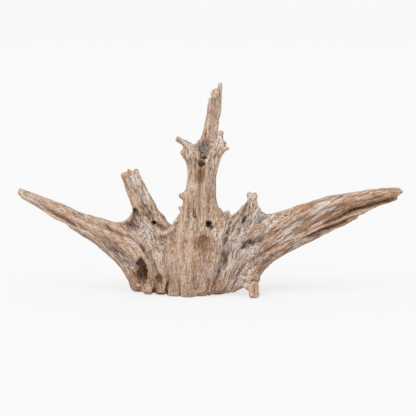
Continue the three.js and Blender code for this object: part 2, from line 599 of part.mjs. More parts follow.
// Thins a closed skin to a number of faces. The edge whose loss changes the shape least goes first,
// and no edge goes whose loss would pinch the skin or turn a face over.
function thinSkin({ positions, faces }, target) {
  const points = [];
  for (let i = 0; i < positions.length; i += 3) points.push(new THREE.Vector3().fromArray(positions, i));
  const quadrics = points.map(() => new Float64Array(10));
  const facesOf = points.map(() => new Set());
  const changes = new Int32Array(points.length);
  const normalOf = (a, b, c) => b.clone().sub(a).cross(c.clone().sub(a));
  faces.forEach((face, number) => {
    const normal = normalOf(...face.map((v) => points[v]));
    const area = normal.length() / 2;
    normal.normalize();
    const offsetFromOrigin = -normal.dot(points[face[0]]);
    for (const v of face) {
      facesOf[v].add(number);
      addPlane(quadrics[v], 0, normal, offsetFromOrigin, area);
    }
  });

  const neighbours = (v) => {
    const found = new Set();
    for (const number of facesOf[v]) faces[number].forEach((other) => found.add(other));
    found.delete(v);
    return found;
  };

  const queue = new CheapestFirst();
  const consider = (a, b) => {
    const q = quadrics[a].map((value, slot) => value + quadrics[b][slot]);
    const choices = [points[a].clone().add(points[b]).multiplyScalar(0.5), points[a], points[b]];
    const matrix = new THREE.Matrix3().set(q[0], q[1], q[2], q[1], q[4], q[5], q[2], q[5], q[7]);
    const size = matrix.elements.reduce((sum, value) => sum + Math.abs(value), 0) / 9;
    if (Math.abs(matrix.determinant()) > FLAT_PLACE * size ** 3) {
      const best = new THREE.Vector3(-q[3], -q[6], -q[8]).applyMatrix3(matrix.invert());
      if (best.distanceTo(choices[0]) < 2 * points[a].distanceTo(points[b])) choices.push(best);
    }
    const errors = choices.map((p) => planeError(q, p.x, p.y, p.z));
    const least = errors.indexOf(Math.min(...errors));
    const cost = errors[least] + EDGE_COST * points[a].distanceToSquared(points[b]);
    queue.push({ cost, a, b, q, place: choices[least], stamp: changes[a] + changes[b] });
  };

  const turnsOver = (moved, other, place) => {
    for (const number of facesOf[moved]) {
      const face = faces[number];
      if (face.includes(other)) continue;
      const before = normalOf(...face.map((v) => points[v]));
      const after = normalOf(...face.map((v) => (v === moved ? place : points[v])));
      const longest = Math.max(...face.map((v) => (v === moved ? 0 : place.distanceToSquared(points[v]))));
      if (before.dot(after) < LEAST_TURN * before.length() * after.length()) return true;
      if (after.length() < SLIMMEST * longest) return true;
    }
    return false;
  };

  const seen = new Set();
  for (const face of faces) {
    for (let corner = 0; corner < 3; corner++) {
      const a = face[corner];
      const b = face[(corner + 1) % 3];
      const key = Math.min(a, b) * points.length + Math.max(a, b);
      if (!seen.has(key)) {
        seen.add(key);
        consider(a, b);
      }
    }
  }

  let left = faces.length;
  while (left > target && queue.entries.length > 0) {
    const { a, b, q, place, stamp } = queue.pop();
    if (facesOf[a].size === 0 || facesOf[b].size === 0 || stamp !== changes[a] + changes[b]) continue;
    const around = neighbours(a);
    if (!around.has(b)) continue;
    const shared = [...neighbours(b)].filter((v) => around.has(v));
    if (shared.length !== 2 || shared.some((v) => facesOf[v].size < 4)) continue;
    if (turnsOver(a, b, place) || turnsOver(b, a, place)) continue;
    for (const number of [...facesOf[b]]) {
      const face = faces[number];
      if (face.includes(a)) {
        face.forEach((v) => facesOf[v].delete(number));
        faces[number] = null;
        left--;
      } else {
        face[face.indexOf(b)] = a;
        facesOf[a].add(number);
      }
    }
    facesOf[b].clear();
    points[a] = place;
    quadrics[a] = q;
    changes[a]++;
    changes[b]++;
    for (const v of neighbours(a)) consider(a, v);
  }
  return { points, faces: faces.filter((face) => face !== null) };
}

// The faces of the largest body in a skin, without any loose scrap beside it
function largestBody({ positions, faces }) {
  const leader = Int32Array.from({ length: positions.length / 3 }, (_, v) => v);
  const lead = (v) => {
    while (leader[v] !== v) v = leader[v] = leader[leader[v]];
    return v;
  };
  for (const [a, b, c] of faces) {
    leader[lead(a)] = lead(b);
    leader[lead(b)] = lead(c);
  }
  const counts = new Map();
  for (const [a] of faces) counts.set(lead(a), (counts.get(lead(a)) ?? 0) + 1);
  const most = Math.max(...counts.values());
  return { positions, faces: faces.filter(([a]) => counts.get(lead(a)) === most) };
}

function rootGeometry() {
  const field = growRoot();
  settleDoubtfulCells(field);
  const { points, faces } = thinSkin(largestBody(skinField(field)), FACES);
  for (const point of points) {
    if (point.z < FLAT_FOOT) point.z = 0;
  }
  const geometry = new THREE.BufferGeometry();
  const corners = faces.flat().flatMap((v) => [points[v].x, points[v].y, points[v].z]);
  geometry.setAttribute('position', new THREE.Float32BufferAttribute(corners, 3));
  const merged = mergeVertices(geometry, SAME_PLACE);
  merged.computeVertexNormals();
  merged.computeBoundingBox();
  const centre = merged.boundingBox.getCenter(new THREE.Vector3());
  return merged.translate(-centre.x, -centre.y, 0);
}

const group = new THREE.Group();
const root = new THREE.Mesh(rootGeometry(), new THREE.MeshStandardMaterial(WOOD));
root.name = 'root_wood';
group.add(root);

export default group;
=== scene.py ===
import math

import bpy
import numpy as np
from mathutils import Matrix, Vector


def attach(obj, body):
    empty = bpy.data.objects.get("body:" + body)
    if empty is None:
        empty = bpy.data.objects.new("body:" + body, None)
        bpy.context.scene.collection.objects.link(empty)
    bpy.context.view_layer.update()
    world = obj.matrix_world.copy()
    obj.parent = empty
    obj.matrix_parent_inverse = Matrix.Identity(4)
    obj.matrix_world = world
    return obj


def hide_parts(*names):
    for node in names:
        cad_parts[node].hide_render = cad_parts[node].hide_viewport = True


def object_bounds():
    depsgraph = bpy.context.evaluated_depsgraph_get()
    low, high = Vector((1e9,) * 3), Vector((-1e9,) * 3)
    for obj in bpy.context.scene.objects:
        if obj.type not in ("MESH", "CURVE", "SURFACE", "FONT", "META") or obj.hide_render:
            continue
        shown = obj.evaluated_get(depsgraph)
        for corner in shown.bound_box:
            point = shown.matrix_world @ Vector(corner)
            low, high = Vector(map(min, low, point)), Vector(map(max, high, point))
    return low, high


# Decorative root wood: one weathered root stump with a split trunk and two long arms.
# Metres, +Z up, X along the arms, -Y towards the viewer. A table in millimetres says mm.

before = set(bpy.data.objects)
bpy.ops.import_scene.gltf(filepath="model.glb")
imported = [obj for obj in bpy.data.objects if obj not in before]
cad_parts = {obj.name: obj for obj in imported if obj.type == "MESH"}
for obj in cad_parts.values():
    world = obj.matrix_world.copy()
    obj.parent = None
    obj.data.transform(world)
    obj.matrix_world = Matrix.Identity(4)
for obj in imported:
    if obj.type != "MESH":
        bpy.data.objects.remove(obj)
cad_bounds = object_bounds()

WOOD_NODE = "root_wood"
MM_PER_METRE = 1000

# The photograph's frame, and its scale on the trunk's middle plane
FRAME_PIXELS = 416
METRES_PER_PIXEL = 0.00208
CAMERA_ELEVATION = 6.0
CAMERA_DISTANCE = 3.5
SENSOR_MM = 36.0
FLOOR_PIXEL_ROW = 292.0
TRUNK_PIXEL_COLUMN = 209.7

# The skin's mesh: the cubes of its remesh, its triangles, and its rounds of smoothing
WELD_DISTANCE = 1e-5
SKIN_VOXEL = 0.0015
SKIN_TRIANGLES = 192000
FACET_ROUNDS = 14
FACET_PULL = 0.5
FACET_PUSH = -0.52
BROAD_ROUNDS = 70
BROAD_PULL = 0.6

# Maps of the grain over the face: their cells, the margin round the root, and the rounds of their fit
GRAIN_CELL = 0.0025
MAP_MARGIN = 0.03
FIT_ROUNDS = 900
# Flow lines: the spacing of their points, their cores, how fast they lose hold, and how much they even out
LINE_SPACING = 0.004
LINE_CORE = 0.006
LINE_FALL = 3
HEADING_ROUNDS = 4

# The grain lengthens out on the arms: from where on, how softly, and by what share
ARM_START = 0.16
ARM_EASE = 0.03
ARM_GRAIN_LENGTHENING = 0.6

# Flow lines of the grain on the face, as (x, z) in mm, each from the floor or the heartwood outwards
GRAIN_LINES = {
    "trunk": [(-45, 0), (-35, 60), (-30, 110), (-24, 155), (-20, 200), (-16, 255), (-10, 295), (0, 330),
              (8, 370), (14, 405), (22, 434)],
    "trunk_left": [(-88, 0), (-76, 50), (-64, 90), (-54, 135), (-45, 190), (-38, 250), (-39, 282),
                   (-42, 298), (-53, 309), (-68, 320)],
    "trunk_right": [(-10, 0), (-2, 50), (5, 100), (4, 150), (0, 200), (3, 245), (10, 275), (16, 298),
                    (21, 316), (24, 334)],
    "branch": [(-90, 0), (-90, 60), (-100, 110), (-117, 150), (-130, 185), (-145, 222), (-157, 250)],
    "branch_left": [(-115, 50), (-125, 100), (-140, 145), (-155, 190), (-168, 224), (-177, 246)],
    "left_arm": [(-80, 30), (-120, 68), (-160, 100), (-198, 122), (-240, 140), (-285, 158), (-330, 179),
                 (-370, 197), (-400, 210)],
    "left_arm_low": [(-146, 0), (-166, 45), (-198, 80), (-236, 107), (-270, 127), (-320, 154), (-395, 198)],
    "right_sweep": [(20, 0), (32, 50), (60, 100), (105, 132), (150, 150), (200, 170), (250, 187),
                    (300, 197), (350, 206), (400, 214)],
    "right_arm": [(45, 10), (70, 60), (110, 92), (160, 120), (210, 143), (265, 163), (320, 180), (390, 200)],
    "right_arm_low": [(80, 10), (100, 47), (124, 71), (161, 92), (206, 113), (251, 134), (300, 158)],
    "knob": [(50, 80), (72, 118), (84, 147), (89, 174), (90, 205)],
}

# Hollows and pits: middle, radii across, deep and up, and extra depth in mm, and how dark the painted shade
# inside them is
HOLLOWS = {
    "left_cave": ((-134.5, -40, 44), (7.5, 50, 23), 6, 0.95),
    "cave_side": ((-148, -30, 34), (11, 50, 18), 4, 0.2),
    "cave_top": ((-144, -40, 66), (12, 50, 12), 2, 0.3),
    "small_pit": ((-106, -62, 33), (10, 20, 14), 6, 0.55),
    "eye_pocket": ((-155, 8, 164), (8, 30, 12), 2, 0.25),
    "eye_corner": ((-157, 10, 171), (4, 30, 6), 3, 0.85),
    "bowl_hole": ((-115.5, 0, 145.5), (5.5, 20, 5.5), 6, 1.0),
    "bowl_floor": ((-103, -8, 138), (12, 30, 4), 3, 0.4),
    "long_pit": ((31, -60, 80), (6, 30, 26), 5, 0.6),
    "arm_hollow": ((84, -46, 108), (22, 30, 7), 4, 0.3),
    "oval_hollow": ((-11, -55, 109), (18, 40, 27), 5, 0.27),
    "middle_hole": ((-3, -35, 146), (6, 22, 6), 8, 0.95),
    "middle_hole_tail": ((3, -35, 139), (5, 22, 5), 4, 0.7),
    "oval_scar": ((-21, -25, 246), (14, 35, 19), 3, 0.6),
    "trunk_pit": ((-16.5, -15, 268.5), (9.5, 30, 8), 5, 0.75),
    "trunk_slit": ((-12.5, -10, 282.5), (8, 30, 3), 6, 1.0),
    "trunk_recess": ((-10.5, 0, 299), (18, 35, 26), 4, 0.4),
    "horn_thinner": ((26, 0, 325), (10, 40, 14), 1.4, 0.0),
    "knob_recess": ((71, -20, 172), (6, 30, 11), 4, 0.4),
}
# How far noise pushes the rims about, and how fine it is
HOLLOW_RAG = 0.0045
RIM_FINENESS = 230
# The reach, in radii, at which the wall and the shade start, and at which they are full
HOLLOW_WALL = (1.1, 0.3)
HOLLOW_SHADE = (1.15, 0.4)

# Open grooves on the face: (x, z) corners, half width and extra depth in mm, and darkness of the painted
# shade in them
GROOVES = {
    "left_arm_groove": ([(-370, 187), (-325, 165), (-301, 152), (-276, 137)], 1.6, 2, 0.85),
    "left_arm_line": ([(-272, 134), (-250, 127), (-232, 117)], 1.4, 1, 0.5),
    "left_arm_crack": ([(-236, 121), (-211, 103), (-185, 82), (-166, 69)], 2, 3, 0.9),
    "right_arm_groove": ([(215, 137), (239, 147), (293, 172), (339, 186), (385, 200)], 1.6, 2, 0.85),
    "right_arm_low_groove": ([(190, 113), (243, 136), (290, 155)], 1.6, 1.5, 0.75),
    "strand_groove": ([(47, 158), (37, 129), (29, 88), (18, 46), (8, 20)], 3, 2, 0.25),
    "sweep_groove": ([(45, 32), (75, 66), (118, 90), (160, 116)], 2.5, 2, 0.35),
    "knob_furrow": ([(78, 190), (66, 163), (55, 148), (46, 140)], 4, 3, 0.5),
    "shard_split": ([(14, 410), (6, 365), (-2, 325)], 2, 1, 0.15),
    "branch_split": ([(-168, 250), (-155, 215), (-142, 187)], 2.2, 2, 0.3),
    "under_lip": ([(-111, 141.5), (-99, 133), (-87, 136.5)], 3, 3, 0.35),
    "pocket_edge": ([(-190, 140), (-168, 146), (-150, 147)], 1.8, 2, 0.45),
    "band_edge": ([(-150, 152), (-132, 142), (-118, 126), (-106, 100)], 1.6, 1.5, 0.4),
    "branch_foot_edge": ([(-140, 167), (-127, 155), (-118, 142), (-108, 125)], 1.8, 2, 0.5),
    "left_fan_line": ([(-190, 127), (-165, 118), (-143, 100), (-125, 75)], 1.6, 1.5, 0.5),
    "toe_gap_left": ([(-86, 30), (-89, 15), (-91, -8)], 3, 3, 0.8),
    "toe_gap_small": ([(-114, 12), (-116, -8)], 4, 3, 0.8),
    "toe_gap_middle": ([(-0.5, 40), (-3, 20), (-6, -8)], 2.4, 2, 0.5),
    "toe_gap_fine": ([(-64, 50), (-60, -8)], 1.6, 2, 0.4),
    "stub_root": ([(66, 36), (78, 30), (90, 36), (100, 33)], 3, 3, 0.45),
}
# The edge and the bottom of a groove, in half widths
GROOVE_EDGE = 1.5
GROOVE_BOTTOM = 0.3

# Raised lips and strands: (x, z) corners, half width and height in mm, and paleness
LIPS = {
    "bowl_lip": ([(-123, 149), (-112.5, 136), (-100, 125.5), (-86, 128.5), (-73, 138), (-66, 155)],
                  4.5, 5, 0.85),
    "arm_sheet": ([(200, 172), (230, 185), (262, 192)], 6, 3, 0.0),
    "groove_floor": ([(-270, 133), (-250, 128), (-233, 120), (-212, 104), (-195, 90)], 11, 6, 0.3),
    "left_fan_floor": ([(-206, 135), (-184, 129.5), (-150, 104), (-136, 80)], 10, 4, 0.15),
}

# Grooves and lips are on the front alone, fade in over this depth, sway a little, and taper to their ends
FRONT_START = 0.01
FRONT_FULL = -0.004
LINE_SWAY = 0.004
SWAY_FINENESS = 90
LINE_TAPER = 0.4

# Splinters and plugs of wood: the two ends of a spindle, and its radius at the middle, in mm
SPLINTERS = {
    "under_lip": ((-118, -18, 114), (-82, -18, 110), 13.5),
    "shard_step": ((9, 0, 392), (12.5, 0, 424), 4.2),
    "stub_tip": ((88, -76, 22), (94.5, -79, 0), 8.8),
    "stub_root": ((62, -56, 44), (99, -80, 1), 12.5),
    "branch_tip": ((-160, 12, 235), (-170, 12, 256.5), 4),
    "knob_tip": ((84, 0, 190), (82.5, 0, 207.5), 4.2),
}
SPINDLE_SIDES = 24

# Humps: middle, radii across, deep and up, and height, in mm
HUMPS = {
    "shard_step": ((7.5, 0, 413), (8, 30, 13), 4.5),
    "trunk_burl": ((-62, 0, 200), (10, 30, 8), 3),
    "low_burl": ((-67, 0, 176), (10, 30, 9), 4),
    "arm_underside": ((320, 0, 166), (25, 30, 8), 3),
    "knob_brow": ((86, -30, 178), (7, 20, 20), 3),
}
# The reach, in radii, at which a hump starts and is full
HUMP_SLOPE = (1.1, 0.2)

# Undercut stretches of the foot: (x, y), radius and height off the floor, in mm
UNDERCUTS = [
    ((35, -85), 50, 6), ((70, -70), 30, 7), ((-105, -70), 25, 4), ((-155, -30), 25, 4), ((-10, -90), 20, 3),
]
UNDERCUT_HEIGHT = 0.025
UNDERCUT_RAG = 0.012
UNDERCUT_FINENESS = (90, 90, 0)
# The lift at which the shade under the rim is full, and the height at which it ends and is full
RIM_SHADE_LIFT = 0.002
RIM_SHADE_HEIGHT = (0.004, 0.0015)
# The foot stays plain at the floor, and the relief is full from this height up
FOOT_HEIGHT = 0.006

# Soft regions of the face: x, z and radius in mm, and amount
WASHED = [
    (88, 200, 22, 1.2), (100, 172, 30, 1.0), (94, 10, 16, 0.4), (50, 110, 45, 0.8), (35, 60, 35, 0.8),
    (160, 140, 40, 0.55), (200, 108, 20, 0.25), (240, 185, 40, 0.5), (-153, 237, 20, 1.1),
    (-135, 205, 20, 0.8), (-4, 335, 20, 0.3), (-36, 270, 12, 0.6), (11, 265, 14, 0.8), (-150, 120, 30, 0.6),
    (-120, 95, 30, 0.45), (-150, 150, 12, 0.6), (-130, 135, 25, 0.8), (-90, 120, 16, 0.3),
    (-55, 310, 20, 0.9), (20, 315, 20, 0.6), (4, 280, 20, 0.5), (-12, 310, 15, 0.4), (-220, 100, 14, 0.4),
    (-195, 82, 16, 0.6), (12, 420, 12, 0.8), (-168, 62, 20, 0.8), (-310, 190, 30, 0.4),
    (-360, 207, 20, 0.4), (-260, 165, 30, 0.25), (60, 30, 40, 0.75), (120, 160, 30, 0.6),
    (20, 240, 20, 0.35), (-30, 290, 20, 0.3), (80, 85, 40, 0.6), (300, 200, 30, 0.2),
]
WARM = [
    (110, 65, 50, 1.3), (190, 110, 60, 1.6), (280, 155, 60, 1.7), (350, 190, 60, 1.6), (220, 165, 50, 1.2),
    (150, 130, 40, 1.0), (-145, 30, 45, 1.1), (-100, 30, 40, 0.9), (0, 50, 50, 0.7), (50, 20, 50, 1.1),
    (-20.5, 250, 20, 1.2), (-10, 112, 25, 1.1), (-220, 90, 30, 0.5), (-120, 190, 30, 0.5),
    (0, 360, 40, 0.4), (93, 12, 22, 1.3), (-330, 185, 50, 0.5), (-155, 162, 20, 0.6), (10, 200, 25, 0.5),
    (-175, 230, 20, 0.7), (-60, 200, 15, 0.8), (100, 100, 30, 0.6), (-170, 120, 40, 0.5), (20, 150, 20, 0.6),
]
GREY = [
    (-125, 125, 25, 0.6), (-14, 304, 18, 1.1), (33, 100, 20, 0.8), (84, 108, 22, 1.0), (-200, 88, 22, 0.5),
    (50, 145, 20, 0.6), (200, 120, 30, 0.3), (-360, 206, 40, 0.7), (-250, 165, 40, 0.6),
    (-235, 113, 20, 0.8), (-210, 98, 20, 0.9), (-310, 187, 30, 0.6), (4, 370, 45, 0.4),
    (-17.5, 272.5, 10, 0.9), (70, 170, 20, 0.6),
]
SMOOTH = [
    (-55, 110, 45, 1.0), (-60, 50, 45, 0.7), (-45, 170, 30, 0.8), (-85, 135, 25, 0.8), (-330, 190, 80, 0.7),
    (-220, 140, 60, 0.6), (5, 140, 25, 0.5), (-160, 100, 30, 0.5), (330, 190, 80, 0.5), (-15, 210, 45, 0.6),
    (5, 370, 45, 0.8), (-11, 109, 25, 0.6), (85, 18, 25, 0.9),
]
ROUGH = [
    (-145, 30, 35, 1.0), (90, 185, 35, 1.2), (-10, 300, 35, 0.8), (-120, 165, 30, 0.7), (60, 120, 50, 0.7),
    (85, 40, 30, 0.6), (-100, 35, 30, 0.8), (-70, 130, 30, 0.5),
]
# A region is full within the first share of its radius and gone at the second
REGION_FULL = 0.2
REGION_GONE = 1.4

# Noises of the weathered relief: per metre across the grain, along it and in depth, with seed and layers
GRAIN_NOISES = {
    "swells": ((48, 5, 44), 11, 3),
    "strands": ((85, 5, 75), 23, 2),
    "flakes": ((210, 34, 190), 31, 2),
    "fibres": ((230, 15, 210), 37, 1),
    "pits": ((240, 75, 220), 53, 1),
}
# and of those with no direction
BEND_FINENESS = 40
PATCH_FINENESS = 26
CRUMB_FINENESS = 210

# The relief's heights and depths, and how much lower swells and flakes are on the arms
SWELL_HEIGHT = 0.0046
SWELL_LOSS_ON_ARM = 0.0018
STRAND_HEIGHT = 0.0026
FLAKE_HEIGHT = 0.0036
FLAKE_LOSS_ON_ARM = 0.0012
FIBRE_HEIGHT = 0.0014
CRUMB_HEIGHT = 0.003
PIT_DEPTH = 0.0014
CHECK_DEPTH = 0.0022
SKIN_SINK = 0.001
LEDGE_STEP = 0.0017

# Shares: relief worn into ledges, relief lost where it is smooth, crumbs lost on the arms, pits off patches
LEDGE_SHARE = 0.6
SMOOTH_LOSS = 0.55
CRUMB_LOSS_ON_ARM = 0.7
PITS_EVERYWHERE = 0.3

# Levels: the middle of plain noise and of the strands, and where each thing starts and is full
NOISE_MIDDLE = 0.5
STRAND_MIDDLE = 0.6
PATCH_RISE = (0.4, 0.62)
PIT_RISE = (0.72, 0.86)
LEDGE_RISE = (0.3, 0.7)
ARM_REACH = (0.13, 0.2)
# How far the grain bends in metres, and how much of a crack a drying crack or a pit is
GRAIN_BEND = (0.005, 0.0, 0.005)
CHECK_CRACK = 0.8
PIT_CRACK = 0.5

# Large drying cracks in the relief, and hairline ones in the colour: spacing, length and width
LARGE_CHECK_SPACING = 0.023
LARGE_CHECK_LENGTH = 0.05
LARGE_CHECK_WIDTH = 0.0018
HAIR_CHECK_SPACING = 0.007
HAIR_CHECK_LENGTH = 0.022
HAIR_CHECK_WIDTH = 0.0011
# For the large ones: the depth of a side, the sway in strips and its fineness, the opening, and the seed
CHECK_SIDE_DEPTH = 0.03
CHECK_SWAY = 0.6
CHECK_SWAY_FINENESS = (30, 9, 30)
CHECK_OPENING = (0.6, 0.85)
CHECK_SEED = 61
# Far apart places in the noise for one strip and the next, and for the front and the back
STRIP_JUMP = 7.31
SIDE_JUMP = 3.17

# How far above or below its broad surface a place is full out or full in
SUNK_DEPTH = 0.0035
# The normal's upward part at which a place starts to be an underside, and at which it is one
UNDERSIDE = (0.25, -0.75)

# Large factors that stir the numbers of a cell and a seed, and the range of what comes out
STIR = (73856093, 19349663, 83492791, 265443576)
STIR_AGAIN = 1274126177
RANDOM_RANGE = 0x1000000
LAYER_SEED_STEP = 17


# Numbers over all vertices at once

def metres(millimetres):
    """A length, or a row of them, from the tables' millimetres."""
    return np.array(millimetres) / MM_PER_METRE


def lattice_random(cell, seed):
    """A number from 0 to 1 for each whole-numbered cell: its three numbers and the seed, stirred."""
    mixed = cell[:, 0] * STIR[0] ^ cell[:, 1] * STIR[1] ^ cell[:, 2] * STIR[2] ^ seed * STIR[3]
    mixed = (mixed ^ mixed >> 13) * STIR_AGAIN
    return (mixed ^ mixed >> 16 & 0xFFFFFF) % RANDOM_RANGE / float(RANDOM_RANGE)


def noise(points, seed):
    """Smooth noise from 0 to 1: random numbers at whole-numbered corners, eased from one to the next."""
    cell = np.floor(points).astype(np.int64)
    part = points - cell
    ease = part * part * (3 - 2 * part)
    total = np.zeros(len(points))
    for corner in range(8):
        step = np.array([corner & 1, corner >> 1 & 1, corner >> 2 & 1])
        share = np.prod(np.where(step == 1, ease, 1 - ease), axis=1)
        total += share * lattice_random(cell + step, seed)
    return total


def layered_noise(points, seed, layers=3):
    """Noise with finer layers, each twice as fine and half as strong as the last, from 0 to 1."""
    strengths = 0.5 ** np.arange(layers)
    total = sum(strength * noise(points * 2 ** layer, seed + LAYER_SEED_STEP * layer)
                for layer, strength in enumerate(strengths))
    return total / strengths.sum()


def ridge(values):
    """1 where the value is a half, falling to 0 where it is 0 or 1."""
    return 1 - np.abs(2 * values - 1)


def ease_between(low, high, value):
    """0 at low, 1 at high, with an eased slope between them."""
    share = np.clip((value - low) / (high - low), 0, 1)
    return share * share * (3 - 2 * share)


def soft_regions(points, regions):
    """The largest amount of any region, each full at its middle and gone a little past its radius."""
    total = np.zeros(len(points))
    for *lengths, amount in regions:
        x, z, radius = metres(lengths)
        distance = np.hypot(points[:, 0] - x, points[:, 2] - z)
        fade = ease_between(radius * REGION_GONE, radius * REGION_FULL, distance)
        total = np.maximum(total, amount * fade)
    return total


# Grain

def spaced_line(corners, spacing=LINE_SPACING):
    """Points at even spacing along a broken line, with the line's direction at each, evened out."""
    corners = metres(corners)
    reach = np.concatenate([[0], np.cumsum(np.linalg.norm(np.diff(corners, axis=0), axis=1))])
    at = np.linspace(0, reach[-1], int(reach[-1] / spacing) + 2)
    points = np.stack([np.interp(at, reach, corners[:, axis]) for axis in (0, 1)], axis=1)
    run = np.gradient(points, axis=0)
    for _ in range(HEADING_ROUNDS):
        run[1:-1] = (run[:-2] + run[1:-1] + run[2:]) / 3
    return points, run / np.linalg.norm(run, axis=1, keepdims=True)


def nearest_on_line(x, z, points):
    """Distance to the nearest of a line's points, and which one it is."""
    nearest = np.full(x.shape, np.inf)
    which = np.zeros(x.shape, dtype=int)
    for number, (line_x, line_z) in enumerate(points):
        distance = np.hypot(x - line_x, z - line_z)
        closer = distance < nearest
        nearest[closer] = distance[closer]
        which[closer] = number
    return nearest, which


def slopes(values):
    """The step from each cell of a map to the next one in x and in z, and none at the far edges."""
    slope_x = np.zeros(values.shape)
    slope_z = np.zeros(values.shape)
    slope_x[:-1] = np.diff(values, axis=0)
    slope_z[:, :-1] = np.diff(values, axis=1)
    return slope_x, slope_z


def gather(flow_x, flow_z):
    """What flows into each cell less what flows out of it."""
    total = np.zeros(flow_x.shape)
    total[:-1] -= flow_x[:-1]
    total[1:] += flow_x[:-1]
    total[:, :-1] -= flow_z[:, :-1]
    total[:, 1:] += flow_z[:, :-1]
    return total


def fitted_map(heading, along, across, weight_along, weight_across):
    """The map whose slope along and across the heading best fits the two given, by conjugate gradients."""
    heading_x, heading_z = heading[..., 0], heading[..., 1]

    def weighed(slope_x, slope_z):
        """A slope with its parts along and across the heading multiplied by their weights."""
        ahead = weight_along * (slope_x * heading_x + slope_z * heading_z)
        aside = weight_across * (slope_z * heading_x - slope_x * heading_z)
        return ahead * heading_x - aside * heading_z, ahead * heading_z + aside * heading_x

    wanted_x = (along * heading_x - across * heading_z) * GRAIN_CELL
    wanted_z = (along * heading_z + across * heading_x) * GRAIN_CELL
    rest = gather(*weighed(wanted_x, wanted_z))
    values = np.zeros(rest.shape)
    search = rest.copy()
    size = np.sum(rest * rest)
    for _ in range(FIT_ROUNDS):
        pushed = gather(*weighed(*slopes(search)))
        pace = size / np.sum(search * pushed)
        values += pace * search
        rest -= pace * pushed
        last_size, size = size, np.sum(rest * rest)
        search = rest + size / last_size * search
    return values


def grain_maps():
    """Two maps over the face in metres: how far across the grain and how far along it a place is.

    The grain's heading at a place is that of the flow lines near it, each weighed by its nearness. The map
    across the grain keeps its level lines along the heading, and the map along it rises with the heading.
    """
    low = np.array([cad_bounds[0][0], cad_bounds[0][2]]) - MAP_MARGIN
    high = np.array([cad_bounds[1][0], cad_bounds[1][2]]) + MAP_MARGIN
    count_x, count_z = np.ceil((high - low) / GRAIN_CELL).astype(int)
    x, z = np.meshgrid(low[0] + GRAIN_CELL * np.arange(count_x),
                       low[1] + GRAIN_CELL * np.arange(count_z), indexing="ij")
    heading = np.zeros(x.shape + (2,))
    for corners in GRAIN_LINES.values():
        points, run = spaced_line(corners)
        nearest, which = nearest_on_line(x, z, points)
        heading += run[which] / (nearest[..., None] + LINE_CORE) ** LINE_FALL
    heading /= np.linalg.norm(heading, axis=2, keepdims=True)
    across = fitted_map(heading, along=0.0, across=1.0, weight_along=12.0, weight_across=1.0)
    along = fitted_map(heading, along=1.0, across=0.0, weight_along=1.0, weight_across=0.2)
    return low, across, along


def grain_coordinates(points):
    """Across the grain, along it, and front to back: where each vertex lies, read off the grain maps.

    The place along the grain runs slower out on the arms, where the fibres are longer.
    """
    low, *maps = grain_maps()
    last_place = np.array(maps[0].shape) - 1.001
    place = np.clip((points[:, [0, 2]] - low) / GRAIN_CELL, 0, last_place)
    column, row = place.astype(int).T
    part_x, part_z = (place - np.floor(place)).T
    read = []
    for grid in maps:
        below = grid[column, row] * (1 - part_x) + grid[column + 1, row] * part_x
        above = grid[column, row + 1] * (1 - part_x) + grid[column + 1, row + 1] * part_x
        read.append(below * (1 - part_z) + above * part_z)
    across, along = read
    out_on_arm = ARM_EASE * np.log1p(np.exp((np.abs(points[:, 0]) - ARM_START) / ARM_EASE))
    along -= ARM_GRAIN_LENGTHENING * out_on_arm
    return np.stack([across, along, points[:, 1]], axis=1)


# Weathering

def hollows(points):
    """Extra depth and painted shade in the named hollows: most at the middle of each egg shape, none
    outside.

    The place is first pushed about by noise, so that the rims come out ragged.
    """
    push = np.stack([layered_noise(points * RIM_FINENESS + 7 * axis, seed=71 + axis)
                     for axis in range(3)], axis=1) - NOISE_MIDDLE
    ragged = points + 2 * HOLLOW_RAG * push
    depth = np.zeros(len(points))
    dark = np.zeros(len(points))
    for centre, radii, extra, darkness in HOLLOWS.values():
        reach = np.linalg.norm((ragged - metres(centre)) / metres(radii), axis=1)
        depth = np.maximum(depth, metres(extra) * ease_between(*HOLLOW_WALL, reach))
        dark = np.maximum(dark, darkness * ease_between(*HOLLOW_SHADE, reach))
    return depth, dark


def swayed_face(points):
    """Each vertex's x and z on the face, with z swayed by noise, and 1 on the front or 0 on the back."""
    sway = LINE_SWAY * (layered_noise(points * SWAY_FINENESS, seed=91) - NOISE_MIDDLE)
    return points[:, 0], points[:, 2] + sway, ease_between(FRONT_START, FRONT_FULL, points[:, 1])


def near_line(x, z, corners):
    """Distance to a line on the face, and its fullness at the nearest point: a sine from end to end."""
    line, _ = spaced_line(corners, LINE_SPACING / 2)
    nearest, which = nearest_on_line(x, z, line)
    fullness = np.sin(np.pi * np.clip((which + 1) / (len(line) + 1), 0.02, 0.98)) ** LINE_TAPER
    return nearest, fullness


def grooves(points):
    """Extra depth and painted shade in the open grooves: full at the bottom, none past the edge."""
    depth = np.zeros(len(points))
    dark = np.zeros(len(points))
    x, z, front = swayed_face(points)
    for corners, half_width, extra, darkness in GROOVES.values():
        nearest, fullness = near_line(x, z, corners)
        edge = metres(half_width) * GROOVE_EDGE * fullness
        bottom = metres(half_width) * GROOVE_BOTTOM * fullness
        share = front * ease_between(edge, bottom, nearest)
        depth = np.maximum(depth, metres(extra) * share)
        dark = np.maximum(dark, darkness * share)
    return depth, dark


def lips(points):
    """Extra height and paleness of the raised lips: full on the line, none beside it."""
    height = np.zeros(len(points))
    pale = np.zeros(len(points))
    x, z, front = swayed_face(points)
    for corners, half_width, raised, paleness in LIPS.values():
        nearest, fullness = near_line(x, z, corners)
        share = front * fullness * ease_between(metres(half_width), 0.0, nearest)
        height = np.maximum(height, metres(raised) * share)
        pale = np.maximum(pale, paleness * share)
    return height, pale


def humps(points):
    """Extra height on the named humps: most at the middle of each egg shape, none outside."""
    height = np.zeros(len(points))
    for centre, radii, raised in HUMPS.values():
        reach = np.linalg.norm((points - metres(centre)) / metres(radii), axis=1)
        height = np.maximum(height, metres(raised) * ease_between(*HUMP_SLOPE, reach))
    return height


